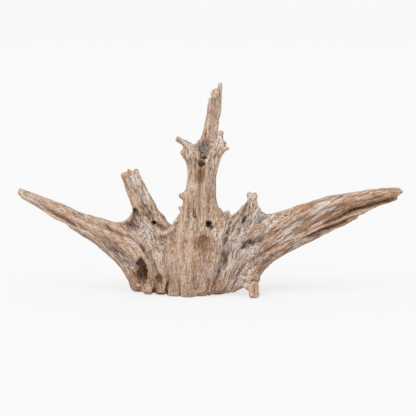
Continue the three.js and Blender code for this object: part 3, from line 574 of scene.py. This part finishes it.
def undercuts(points):
    """How far the foot's rim is lifted off the floor, and how dark the painted shade under the rim is.

    The lift is most at the floor and none at the undercut's height. The edges are pushed about by noise.
    """
    lift = np.zeros(len(points))
    push = layered_noise(points * np.array(UNDERCUT_FINENESS), seed=97)[:, None] - NOISE_MIDDLE
    ragged = points[:, :2] + UNDERCUT_RAG * push
    for undercut in UNDERCUTS:
        centre, radius, raised = map(metres, undercut)
        distance = np.hypot(*(ragged - centre).T)
        lift = np.maximum(lift, raised * ease_between(radius, radius * 0.5, distance))
    lift = lift * ease_between(UNDERCUT_HEIGHT, 0.0, points[:, 2])
    dark = ease_between(0.0, RIM_SHADE_LIFT, lift) * ease_between(*RIM_SHADE_HEIGHT, points[:, 2])
    return lift, dark


def ledges(height, step):
    """The height in steps: flat for most of each step, with a steep eased rise between."""
    whole = np.floor(height / step)
    return step * (whole + ease_between(*LEDGE_RISE, height / step - whole))


def large_checks(grain):
    """Large drying cracks along the grain, from 0 to 1 at the bottom of one.

    Every strip of even width across the grain holds one line, placed at random in it. A slow noise along
    the strip says where its crack is open, and how wide.
    """
    sway = CHECK_SWAY * noise(grain * np.array(CHECK_SWAY_FINENESS), CHECK_SEED)
    strip_place = grain[:, 0] / LARGE_CHECK_SPACING + sway
    strip = np.floor(strip_place)
    side = np.floor(grain[:, 2] / CHECK_SIDE_DEPTH + 0.5)
    keys = np.stack([strip, side, np.zeros(len(strip))], axis=1).astype(np.int64)
    middle = 0.25 + 0.5 * lattice_random(keys, CHECK_SEED)
    along = np.stack([strip * STRIP_JUMP, grain[:, 1] / LARGE_CHECK_LENGTH, side * SIDE_JUMP], axis=1)
    opening = ease_between(*CHECK_OPENING, noise(along, CHECK_SEED + 5))
    distance = np.abs(strip_place - strip - middle) * LARGE_CHECK_SPACING
    wall = ease_between(LARGE_CHECK_WIDTH * (0.2 + opening), 0.0, distance)
    return wall * ease_between(0.0, 0.25, opening)


def weathered_relief(points, grain):
    """Height of the weathered surface over the plain one in metres, and how deep in a crack it is.

    It adds up long swells, ridged strands and flakes, worn partly into ledges, and fine fibres, all
    stretched along the grain, with crumbs and pits of no direction on patches, and takes off the drying
    cracks.
    """
    push = layered_noise(points * BEND_FINENESS, seed=5)[:, None] - NOISE_MIDDLE
    bent = grain + push * np.array(GRAIN_BEND)
    noises = {name: layered_noise(bent * np.array(fineness), seed, layers)
              for name, (fineness, seed, layers) in GRAIN_NOISES.items()}
    swells = noises["swells"] - NOISE_MIDDLE
    strands = ridge(noises["strands"]) - STRAND_MIDDLE
    flakes = noises["flakes"] - NOISE_MIDDLE
    fibres = ridge(noises["fibres"]) - NOISE_MIDDLE
    patches = ease_between(*PATCH_RISE, layered_noise(points * PATCH_FINENESS, seed=43))
    patches += soft_regions(points, ROUGH)
    crumbs = (layered_noise(points * CRUMB_FINENESS, seed=47, layers=2) - NOISE_MIDDLE) * patches
    pits = ease_between(*PIT_RISE, noises["pits"]) * (PITS_EVERYWHERE + patches)
    cracks = large_checks(grain)
    on_arm = ease_between(*ARM_REACH, np.abs(points[:, 0]))
    rough = 1 - SMOOTH_LOSS * np.minimum(soft_regions(points, SMOOTH), 1)
    height = (SWELL_HEIGHT - SWELL_LOSS_ON_ARM * on_arm) * swells + STRAND_HEIGHT * strands * rough
    height += (FLAKE_HEIGHT - FLAKE_LOSS_ON_ARM * on_arm) * flakes * rough
    height = (1 - LEDGE_SHARE) * height + LEDGE_SHARE * ledges(height, LEDGE_STEP) + FIBRE_HEIGHT * fibres
    height += CRUMB_HEIGHT * crumbs * (1 - CRUMB_LOSS_ON_ARM * on_arm) * rough
    height -= PIT_DEPTH * pits * rough + CHECK_DEPTH * cracks + SKIN_SINK
    return height, np.maximum(CHECK_CRACK * cracks, PIT_CRACK * pits)


# The skin

def mesh_numbers(collection, name, width, kind=float):
    """One row of numbers for each element of a mesh: the named property, read whole."""
    numbers = np.empty(len(collection) * width, dtype=kind)
    collection.foreach_get(name, numbers)
    return numbers.reshape(-1, width)


def store(mesh, name, values):
    """Keeps a number, or a row of three, for each vertex as an attribute that the material reads."""
    kind, field = ("FLOAT_VECTOR", "vector") if values.ndim == 2 else ("FLOAT", "value")
    layer = mesh.attributes.new(name, kind, "POINT")
    layer.data.foreach_set(field, values.astype(np.float32).ravel())


def neighbour_mean(values, edges, counts):
    """The mean of the values at the vertices that each vertex shares an edge with."""
    columns = []
    for column in values.T:
        total = np.bincount(edges[:, 0], column[edges[:, 1]], len(column))
        total += np.bincount(edges[:, 1], column[edges[:, 0]], len(column))
        columns.append(total / counts)
    return np.stack(columns, axis=1)


def smoothed(points, edges, rounds, pull, push):
    """Points drawn by a share towards the mean of their neighbours, and by another, round after round."""
    counts = np.maximum(np.bincount(edges.ravel(), minlength=len(points)), 1)
    for _ in range(rounds):
        for share in (pull, push):
            points = points + share * (neighbour_mean(points, edges, counts) - points)
    return points


def applied(obj):
    """Replaces an object's mesh by what its modifiers make of it."""
    graph = bpy.context.evaluated_depsgraph_get()
    mesh = bpy.data.meshes.new_from_object(obj.evaluated_get(graph))
    old = obj.data
    obj.modifiers.clear()
    obj.data = mesh
    bpy.data.meshes.remove(old)
    return mesh


def spindle(root, tip, radius):
    """A closed spindle: circles along the line from root to tip, with the radius a sine of the way along.

    The circles are a grid of rings and sides. Two triangles close each of its meshes, and a fan each end.
    """
    run = tip - root
    side = np.cross(run, (0.0, 1.0, 0.0))
    side /= np.linalg.norm(side)
    other_side = np.cross(run, side) / np.linalg.norm(run)
    polar = np.linspace(0, np.pi, SPINDLE_SIDES // 2 + 1)[1:-1]
    turn = np.linspace(0, 2 * np.pi, SPINDLE_SIDES, endpoint=False)
    way = (1 - np.cos(polar)) / 2
    circle = np.outer(np.cos(turn), side) + np.outer(np.sin(turn), other_side)
    rings = root + way[:, None, None] * run + radius * np.sin(polar)[:, None, None] * circle
    points = np.concatenate([rings.reshape(-1, 3), [root, tip]])

    here = np.arange(SPINDLE_SIDES)
    next_one = (here + 1) % SPINDLE_SIDES
    low = SPINDLE_SIDES * np.arange(len(polar) - 1)[:, None]
    high = low + SPINDLE_SIDES
    first_half = np.stack([high + next_one, high + here, low + here], axis=2)
    second_half = np.stack([low + next_one, high + next_one, low + here], axis=2)
    root_fan = np.stack([next_one, here, np.full(SPINDLE_SIDES, len(points) - 2)], axis=1)
    tip_fan = np.stack([high[-1] + here, high[-1] + next_one,
                        np.full(SPINDLE_SIDES, len(points) - 1)], axis=1)
    walls = np.stack([first_half, second_half], axis=1).reshape(-1, 3)
    return points, np.concatenate([root_fan, tip_fan, walls])


def root_with_splinters():
    """The plain root's mesh, copied, with every splinter beside it in the same mesh."""
    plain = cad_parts[WOOD_NODE].data
    points = [mesh_numbers(plain.vertices, "co", 3)]
    faces = [mesh_numbers(plain.polygons, "vertices", 3, np.int32)]
    for splinter in SPLINTERS.values():
        more_points, more_faces = spindle(*map(metres, splinter))
        faces.append(more_faces + sum(len(part) for part in points))
        points.append(more_points)
    mesh = bpy.data.meshes.new("root_wood_skin")
    mesh.from_pydata(np.concatenate(points), [], np.concatenate(faces))
    return mesh


def fine_copy_of_root():
    """A copy of the plain root, merged, remeshed in fine cubes and smoothed until no facet shows."""
    skin = bpy.data.objects.new("root_wood_skin", root_with_splinters())
    bpy.context.scene.collection.objects.link(skin)
    weld = skin.modifiers.new("weld", "WELD")
    weld.merge_threshold = WELD_DISTANCE
    remesh = skin.modifiers.new("remesh", "REMESH")
    remesh.mode = "VOXEL"
    remesh.voxel_size = SKIN_VOXEL
    mesh = applied(skin)
    edges = mesh_numbers(mesh.edges, "vertices", 2, np.int32)
    points = mesh_numbers(mesh.vertices, "co", 3)
    points = smoothed(points, edges, FACET_ROUNDS, FACET_PULL, FACET_PUSH)
    mesh.vertices.foreach_set("co", points.ravel())
    mesh.update()
    return skin, edges, points


def sunk_share(mesh, points, edges):
    """0 where a place stands proud of its broad surface, a half where it is level, 1 where it lies deep."""
    broad = smoothed(points, edges, BROAD_ROUNDS, BROAD_PULL, 0.0)
    depth = np.sum((broad - points) * mesh_numbers(mesh.vertex_normals, "vector", 3), axis=1)
    return ease_between(-SUNK_DEPTH, SUNK_DEPTH, depth)


def underside_share(normals, edges):
    """0 where the smoothed surface looks sideways or up, 1 where it looks well down."""
    broad_normals = smoothed(normals, edges, FACET_ROUNDS, BROAD_PULL, 0.0)
    return ease_between(*UNDERSIDE, broad_normals[:, 2])


def thinned(skin):
    """The skin with its flattest places thinned out until it has few enough triangles."""
    thin = skin.modifiers.new("thin", "DECIMATE")
    thin.ratio = min(1.0, SKIN_TRIANGLES / (2 * len(skin.data.polygons)))
    applied(skin).shade_smooth()
    return skin


def weathered_skin():
    """The plain root's fine copy, moved along its normals: up by the relief, in by hollows and grooves."""
    skin, edges, points = fine_copy_of_root()
    mesh = skin.data
    normals = mesh_numbers(mesh.vertex_normals, "vector", 3)
    grain = grain_coordinates(points)
    relief, crack = weathered_relief(points, grain)
    hollow_depth, hollow_painted_shade = hollows(points)
    groove_depth, groove_painted_shade = grooves(points)
    lip_height, lip_pale = lips(points)
    lift, rim_painted_shade = undercuts(points)
    clear_of_floor = ease_between(0.0, FOOT_HEIGHT, points[:, 2])
    height = (relief + lip_height + humps(points)) * clear_of_floor - np.maximum(hollow_depth, groove_depth)
    moved = points + normals * height[:, None]
    moved[:, 2] = np.maximum(moved[:, 2], 0) + lift
    mesh.vertices.foreach_set("co", moved.ravel())
    mesh.update()

    # The painted shade of hollows, grooves and under the rim, in one mask
    dark = np.maximum.reduce([hollow_painted_shade, groove_painted_shade, rim_painted_shade])
    # sunk holds painted light on proud places and painted shade in recesses, and more whitewash there; under
    # holds painted shade on undersides
    masks = {"grain": grain, "crack": crack, "dark": dark, "lip": lip_pale,
             "sunk": sunk_share(mesh, moved, edges), "under": underside_share(normals, edges),
             "smooth": np.minimum(soft_regions(points, SMOOTH), 1), "washed": soft_regions(points, WASHED),
             "warm": soft_regions(points, WARM), "grey": soft_regions(points, GREY)}
    for name, values in masks.items():
        store(mesh, name, values)
    return thinned(skin)


# Material

# Colours of the wood, as linear red, green and blue
TAN = (0.585, 0.385, 0.26)
PALE_TAN = (0.75, 0.565, 0.425)
WARM_BROWN = (0.485, 0.235, 0.113)
BROWN = (0.26, 0.135, 0.075)
GREY_WOOD = (0.34, 0.305, 0.28)
WHITEWASH = (0.78, 0.74, 0.715)
DARK_BROWN = (0.10, 0.056, 0.036)
# The last two are painted shade: grey and near black in hollows, grooves and under the rim
DARK_GREY = (0.16, 0.145, 0.135)
CAVITY_SHADE = (0.055, 0.031, 0.02)

# Patterns that follow the grain: fineness per metre across it, along it and in depth, detail, roughness
GRAIN_PATTERNS = {
    "bands": ((70, 5, 60), 3.0, 0.6),
    "streaks": ((190, 11, 170), 5.0, 0.65),
    "flecks": ((340, 60, 310), 3.0, 0.6),
    "fibres": ((520, 18, 470), 4.0, 0.65),
    "wash": ((320, 22, 290), 5.0, 0.7),
    "wash_sweeps": ((60, 10, 55), 3.0, 0.6),
    "check_sway": ((40, 12, 40), 1.0, 0.6),
}
# Thin lines along the grain: fineness, and width in the noise's values
LINE_PATTERNS = {
    "brown_lines": ((150, 5, 135), 0.035),
    "pale_lines": ((125, 6, 115), 0.04),
}
# Patterns of no direction: fineness per metre, detail, roughness
PLAIN_PATTERNS = {
    "patches": (14.0, 3.0, 0.6),
    "mottles": (95.0, 4.0, 0.65),
    "specks": (340.0, 3.0, 0.7),
    "tooth": (420.0, 3.0, 0.6),
}
MASKS = ("sunk", "crack", "dark", "under", "lip", "smooth", "washed", "warm", "grey")

# Contrast on the smoothest wood, the most that the painted shade of undersides and of large cracks changes
# the colour, and the sway of hairline cracks in strips
LEAST_CONTRAST = 0.4
UNDERSIDE_SHADE_WARMTH = 0.4
UNDERSIDE_SHADE_BROWN = 0.35
CRACK_SHADE_DARKNESS = 0.6
HAIR_CHECK_DARKNESS = 0.75
HAIR_CHECK_SWAY = 3.0

# More or less whitewash in the washed regions, on smooth wood and in hollows
WASH_IN_REGIONS = 0.15
WASH_ON_SMOOTH = -0.03
WASH_IN_HOLLOWS = -0.12

# Fine bump: its height in metres, and what it is made of
BUMP_HEIGHT = 0.004
BUMP_FIBRES = 0.6
BUMP_FLECKS = 0.7
BUMP_TOOTH = 0.25
BUMP_LINES = -0.15
WOOD_SPECULAR = 0.25

# Numbers of a Mix node's sockets for colours: the share, the first, the second and the result
MIX_SOCKETS = (0, 6, 7)
MIX_RESULT = 2


class WoodNodes:
    """Short names for the wood's node tree, and every mask and pattern of the wood under its own name."""

    def __init__(self, material):
        """Starts with the masks and patterns alone in the tree."""
        self.tree = material.node_tree
        self.tree.nodes.clear()
        for name in MASKS:
            setattr(self, name, self.attribute(name))
        for table, maker in ((GRAIN_PATTERNS, self.grain_noise), (LINE_PATTERNS, self.grain_lines),
                             (PLAIN_PATTERNS, self.object_noise)):
            for name, numbers in table.items():
                setattr(self, name, maker(*numbers))
        self.contrast = self.remap(self.smooth, (0.0, 1.0), (1.0, LEAST_CONTRAST))

    def node(self, kind, **settings):
        """A new node of a kind, with its settings."""
        made = self.tree.nodes.new(kind)
        for key, value in settings.items():
            setattr(made, key, value)
        return made

    def put(self, value, socket):
        """Links another node's output to a socket, or sets the socket to a number or a colour."""
        if isinstance(value, bpy.types.NodeSocket):
            self.tree.links.new(value, socket)
        elif isinstance(value, tuple):
            socket.default_value = (*value, 1.0)
        else:
            socket.default_value = value

    def attribute(self, name, output="Fac"):
        """What the skin's mesh keeps under a name for each vertex."""
        return self.node("ShaderNodeAttribute", attribute_name=name).outputs[output]

    def noise(self, vector, scale, detail, roughness):
        """Blender's noise at a place, about a half on the whole."""
        made = self.node("ShaderNodeTexNoise")
        for name, value in (("Vector", vector), ("Scale", scale), ("Detail", detail),
                            ("Roughness", roughness), ("Distortion", 0.0)):
            self.put(value, made.inputs[name])
        return made.outputs["Fac"]

    def grain_noise(self, fineness, detail, roughness):
        """Noise stretched along the grain; the fineness is per metre across it, along it and in depth."""
        mapping = self.node("ShaderNodeMapping")
        mapping.inputs["Scale"].default_value = fineness
        self.put(self.attribute("grain", "Vector"), mapping.inputs["Vector"])
        return self.noise(mapping.outputs["Vector"], 1.0, detail, roughness)

    def grain_lines(self, fineness, width):
        """Thin lines along the grain, where a stretched noise passes through its middle value."""
        level = self.grain_noise(fineness, detail=2.0, roughness=0.5)
        distance = self.math("ABSOLUTE", self.math("SUBTRACT", level, NOISE_MIDDLE))
        return self.remap(distance, (width, width * 0.3))

    def object_noise(self, fineness, detail, roughness):
        """Noise of no direction, in the object's own space."""
        place = self.node("ShaderNodeTexCoord").outputs["Object"]
        return self.noise(place, fineness, detail, roughness)

    def remap(self, value, reach, to=(0.0, 1.0)):
        """The value eased from one range to another, and held at its ends."""
        made = self.node("ShaderNodeMapRange", interpolation_type="SMOOTHSTEP")
        for socket, number in zip(made.inputs, (value, *reach, *to)):
            self.put(number, socket)
        return made.outputs["Result"]

    def math(self, operation, a, b=0.0):
        """The result of one calculation on two values."""
        made = self.node("ShaderNodeMath", operation=operation)
        self.put(a, made.inputs[0])
        self.put(b, made.inputs[1])
        return made.outputs[0]

    def times(self, a, b):
        """The product of two values."""
        return self.math("MULTIPLY", a, b)

    def plus(self, *values):
        """The sum of the values, added up in their order."""
        total = values[0]
        for value in values[1:]:
            total = self.math("ADD", total, value)
        return total

    def mix(self, share, first, second):
        """The first colour with a share of the second."""
        made = self.node("ShaderNodeMix", data_type="RGBA")
        for value, number in zip((share, first, second), MIX_SOCKETS):
            self.put(value, made.inputs[number])
        return made.outputs[MIX_RESULT]

    def laid(self, color, over, pattern, reach, most=1.0, varies=False):
        """A colour with another over it: none where the pattern starts its reach, and most where it ends.

        One that varies has less contrast on smooth wood.
        """
        share = self.remap(pattern, reach, (0.0, most))
        return self.mix(self.times(self.contrast, share) if varies else share, color, over)


def warmth(w):
    """How warm the brown is: the warm regions, the bands and the painted shade of the undersides together,
    less in mottles.
    """
    in_bands = w.remap(w.bands, (0.48, 0.7), (0.0, 0.6))
    warm = w.plus(w.warm, in_bands, w.times(w.under, UNDERSIDE_SHADE_WARMTH))
    in_mottles = w.remap(w.mottles, (0.3, 0.6), (0.55, 1.0))
    return w.math("MINIMUM", w.times(warm, in_mottles), 1.0)


def bare_wood(w):
    """Tan wood with warm and grey regions, brown streaks, fibres and lines, and pale flecks.

    Painted light makes what stands proud paler, and painted shade makes what is sunk or looks down browner.
    """
    color = w.laid(TAN, PALE_TAN, w.patches, (0.38, 0.62))
    color = w.mix(warmth(w), color, WARM_BROWN)
    grey_streaks = w.remap(w.streaks, (0.35, 0.6), (0.35, 0.9))
    color = w.mix(w.times(w.grey, grey_streaks), color, GREY_WOOD)
    color = w.laid(color, BROWN, w.streaks, (0.53, 0.62), most=0.75, varies=True)
    color = w.laid(color, BROWN, w.fibres, (0.5, 0.59), most=0.8, varies=True)
    color = w.laid(color, PALE_TAN, w.flecks, (0.46, 0.38), most=0.9)
    # Painted light on what stands proud, painted shade on what is sunk
    color = w.laid(color, PALE_TAN, w.sunk, (0.45, 0.2), most=0.5)
    color = w.laid(color, BROWN, w.sunk, (0.56, 0.85), most=0.7)
    # Painted shade on the undersides
    color = w.mix(w.times(w.under, UNDERSIDE_SHADE_BROWN), color, BROWN)
    in_mottles = w.remap(w.mottles, (0.4, 0.6), (0.3, 0.95))
    return w.mix(w.times(w.brown_lines, w.times(w.contrast, in_mottles)), color, BROWN)


def whitewash(w):
    """How thick the whitewash lies, and the share of it that shows.

    It is a noise along the grain, with more in the washed regions, in broad sweeps and on sunk places,
    and less on smooth wood and in hollows. Its thick places show, and so do pale lines along the grain.
    """
    in_sweeps = w.remap(w.wash_sweeps, (0.4, 0.65), (-0.06, 0.05))
    when_sunk = w.remap(w.sunk, (0.3, 0.7), (-0.04, 0.04))
    extra = w.plus(w.times(w.washed, WASH_IN_REGIONS), in_sweeps, when_sunk,
                   w.times(w.smooth, WASH_ON_SMOOTH), w.times(w.dark, WASH_IN_HOLLOWS))
    thickness = w.plus(w.wash, extra)
    between_fibres = w.remap(w.fibres, (0.3, 0.55), (0.6, 1.0))
    thick_places = w.times(w.remap(thickness, (0.59, 0.635)), between_fibres)
    line_share = w.remap(extra, (-0.05, 0.12), (0.12, 1.0))
    lines = w.times(w.pale_lines, line_share)
    return thickness, w.math("MAXIMUM", thick_places, lines)


def hair_checks(w):
    """Hairline cracks along the grain: one in every strip across it, open where a slow noise says so."""
    place = w.node("ShaderNodeSeparateXYZ")
    w.put(w.attribute("grain", "Vector"), place.inputs[0])
    sway = w.times(w.check_sway, HAIR_CHECK_SWAY)
    strip_place = w.plus(w.math("DIVIDE", place.outputs["X"], HAIR_CHECK_SPACING), sway)
    along = w.node("ShaderNodeCombineXYZ")
    w.put(w.times(w.math("FLOOR", strip_place), STRIP_JUMP), along.inputs["X"])
    w.put(w.math("DIVIDE", place.outputs["Y"], HAIR_CHECK_LENGTH), along.inputs["Y"])
    w.put(w.math("DIVIDE", place.outputs["Z"], HAIR_CHECK_LENGTH), along.inputs["Z"])
    slow_noise = w.noise(along.outputs["Vector"], scale=1.0, detail=1.0, roughness=0.5)
    opening = w.remap(slow_noise, (0.5, 0.68))
    distance = w.math("ABSOLUTE", w.math("SUBTRACT", w.math("FRACT", strip_place), 0.5))
    line = w.remap(distance, (HAIR_CHECK_WIDTH / HAIR_CHECK_SPACING, 0.0))
    return w.times(w.times(line, opening), HAIR_CHECK_DARKNESS)


def specks_and_cracks(w, color):
    """The colour with pale and brown specks, dark flecks and hairline cracks over it, and painted shade in
    large cracks and pits.
    """
    color = w.laid(color, PALE_TAN, w.specks, (0.46, 0.38), most=0.5)
    color = w.laid(color, BROWN, w.specks, (0.55, 0.63), most=0.75)
    color = w.laid(color, DARK_BROWN, w.flecks, (0.6, 0.66), most=0.85, varies=True)
    color = w.mix(w.times(w.contrast, hair_checks(w)), color, DARK_BROWN)
    # Painted shade deep in the large drying cracks and in pits
    return w.mix(w.times(w.crack, CRACK_SHADE_DARKNESS), color, DARK_BROWN)


def hollow_shade(w, color):
    """The colour with painted shade in hollows: brown or grey with streaks and specks in it, and near black
    at the bottom.
    """
    in_streaks = w.remap(w.streaks, (0.4, 0.58), (0.4, 1.0))
    in_specks = w.remap(w.specks, (0.4, 0.56), (0.55, 1.0))
    shallow = w.times(w.remap(w.dark, (0.0, 0.55)), w.times(in_streaks, in_specks))
    color = w.mix(shallow, color, w.mix(w.grey, BROWN, DARK_GREY))
    less_on_crumbs = w.remap(w.specks, (0.5, 0.38), (1.0, 0.6))
    deep = w.times(w.remap(w.dark, (0.35, 0.95)), less_on_crumbs)
    return w.mix(deep, color, CAVITY_SHADE)


def fine_bump(w):
    """The normal over raised fibres, flecks and tooth, with the brown lines sunk between them."""
    bump = w.node("ShaderNodeBump")
    bump.inputs["Strength"].default_value = 1.0
    bump.inputs["Distance"].default_value = BUMP_HEIGHT
    height = w.plus(w.times(w.fibres, BUMP_FIBRES), w.times(w.flecks, BUMP_FLECKS),
                    w.times(w.tooth, BUMP_TOOTH), w.times(w.brown_lines, BUMP_LINES))
    w.put(height, bump.inputs["Height"])
    return bump.outputs["Normal"]


def weathered_wood():
    """The wood's material: bare wood with painted light and shade, whitewash over it, then specks, cracks
    and the painted shade of hollows.
    """
    material = bpy.data.materials.new("weathered_wood")
    material.use_nodes = True
    w = WoodNodes(material)
    color = bare_wood(w)
    wash_thickness, wash_shown = whitewash(w)
    color = w.mix(wash_shown, color, WHITEWASH)
    color = w.mix(w.lip, color, PALE_TAN)
    color = specks_and_cracks(w, color)
    color = hollow_shade(w, color)
    roughness = w.remap(wash_thickness, (0.5, 0.75), (0.78, 0.93))

    shader = w.node("ShaderNodeBsdfPrincipled")
    shader.inputs["Specular IOR Level"].default_value = WOOD_SPECULAR
    w.put(color, shader.inputs["Base Color"])
    w.put(roughness, shader.inputs["Roughness"])
    w.put(fine_bump(w), shader.inputs["Normal"])
    output = w.node("ShaderNodeOutputMaterial")
    w.put(shader.outputs["BSDF"], output.inputs["Surface"])
    return material


# Floor, light and camera

FLOOR_HALF_SIDE = 60.0
FLOOR_ALBEDO = 0.2
FLOOR_GLOW = 0.715
# The surround is brightest at the horizon and fades between two heights, as a share of straight up
HORIZON = 0.945
SURROUND = 0.80
FADE_START = 0.03
FADE_END = 0.15
# The sun's strength, and its width and its lean from straight above, forwards and sideways, in degrees
SUN_STRENGTH = 1.45
SUN_WIDTH = 50
SUN_LEAN_FORWARD = 32
SUN_LEAN_LEFT = -14


def pale_floor():
    """A plain pale floor that glows evenly, as a lit studio table does, so that shadows on it stay faint."""
    corners = [(-FLOOR_HALF_SIDE, -FLOOR_HALF_SIDE, 0.0), (FLOOR_HALF_SIDE, -FLOOR_HALF_SIDE, 0.0),
               (FLOOR_HALF_SIDE, FLOOR_HALF_SIDE, 0.0), (-FLOOR_HALF_SIDE, FLOOR_HALF_SIDE, 0.0)]
    mesh = bpy.data.meshes.new("pale_floor")
    mesh.from_pydata(corners, [], [(0, 1, 2, 3)])
    material = bpy.data.materials.new("pale_floor")
    material.use_nodes = True
    shader = material.node_tree.nodes["Principled BSDF"]
    for name, value in (("Base Color", (FLOOR_ALBEDO, FLOOR_ALBEDO, FLOOR_ALBEDO, 1.0)), ("Roughness", 1.0),
                        ("Specular IOR Level", 0.0), ("Emission Color", (1.0, 1.0, 1.0, 1.0)),
                        ("Emission Strength", FLOOR_GLOW)):
        shader.inputs[name].default_value = value
    mesh.materials.append(material)
    floor = bpy.data.objects.new("pale_floor", mesh)
    bpy.context.scene.collection.objects.link(floor)


def studio_light():
    """An even white surround, and one very broad light from above, a little left and in front."""
    world = bpy.data.worlds.new("studio")
    world.use_nodes = True
    nodes = world.node_tree.nodes
    links = world.node_tree.links
    place = nodes.new("ShaderNodeTexCoord")
    height = nodes.new("ShaderNodeSeparateXYZ")
    fade = nodes.new("ShaderNodeMapRange")
    for name, value in (("From Min", FADE_START), ("From Max", FADE_END), ("To Min", HORIZON),
                        ("To Max", SURROUND)):
        fade.inputs[name].default_value = value
    links.new(place.outputs["Generated"], height.inputs[0])
    links.new(height.outputs["Z"], fade.inputs["Value"])
    links.new(fade.outputs["Result"], nodes["Background"].inputs["Color"])
    bpy.context.scene.world = world
    light = bpy.data.lights.new("broad_light", "SUN")
    light.energy = SUN_STRENGTH
    light.angle = math.radians(SUN_WIDTH)
    lamp = bpy.data.objects.new("broad_light", light)
    lamp.rotation_euler = (math.radians(SUN_LEAN_FORWARD), math.radians(SUN_LEAN_LEFT), 0.0)
    bpy.context.scene.collection.objects.link(lamp)


def photo_camera():
    """A long lens at the photograph's angle, whose view spans the photograph's width on the middle plane."""
    tilt = math.radians(CAMERA_ELEVATION)
    middle = FRAME_PIXELS / 2
    target_x = (middle - TRUNK_PIXEL_COLUMN) * METRES_PER_PIXEL
    target_z = (FLOOR_PIXEL_ROW - middle) * METRES_PER_PIXEL / math.cos(tilt)
    camera = bpy.data.cameras.new("photo_camera")
    camera.sensor_width = SENSOR_MM
    camera.lens = SENSOR_MM * CAMERA_DISTANCE / (FRAME_PIXELS * METRES_PER_PIXEL)
    camera.clip_end = 3 * FLOOR_HALF_SIDE
    holder = bpy.data.objects.new("photo_camera", camera)
    back = CAMERA_DISTANCE * math.cos(tilt)
    holder.location = (target_x, -back, target_z + CAMERA_DISTANCE * math.sin(tilt))
    holder.rotation_euler = (math.pi / 2 - tilt, 0.0, 0.0)
    bpy.context.scene.collection.objects.link(holder)
    bpy.context.scene.camera = holder


photo_camera()
studio_light()
pale_floor()
bpy.context.scene.view_settings.view_transform = "Standard"

root_skin = weathered_skin()
root_skin.data.materials.clear()
root_skin.data.materials.append(weathered_wood())
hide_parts(WOOD_NODE)
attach(root_skin, "root")
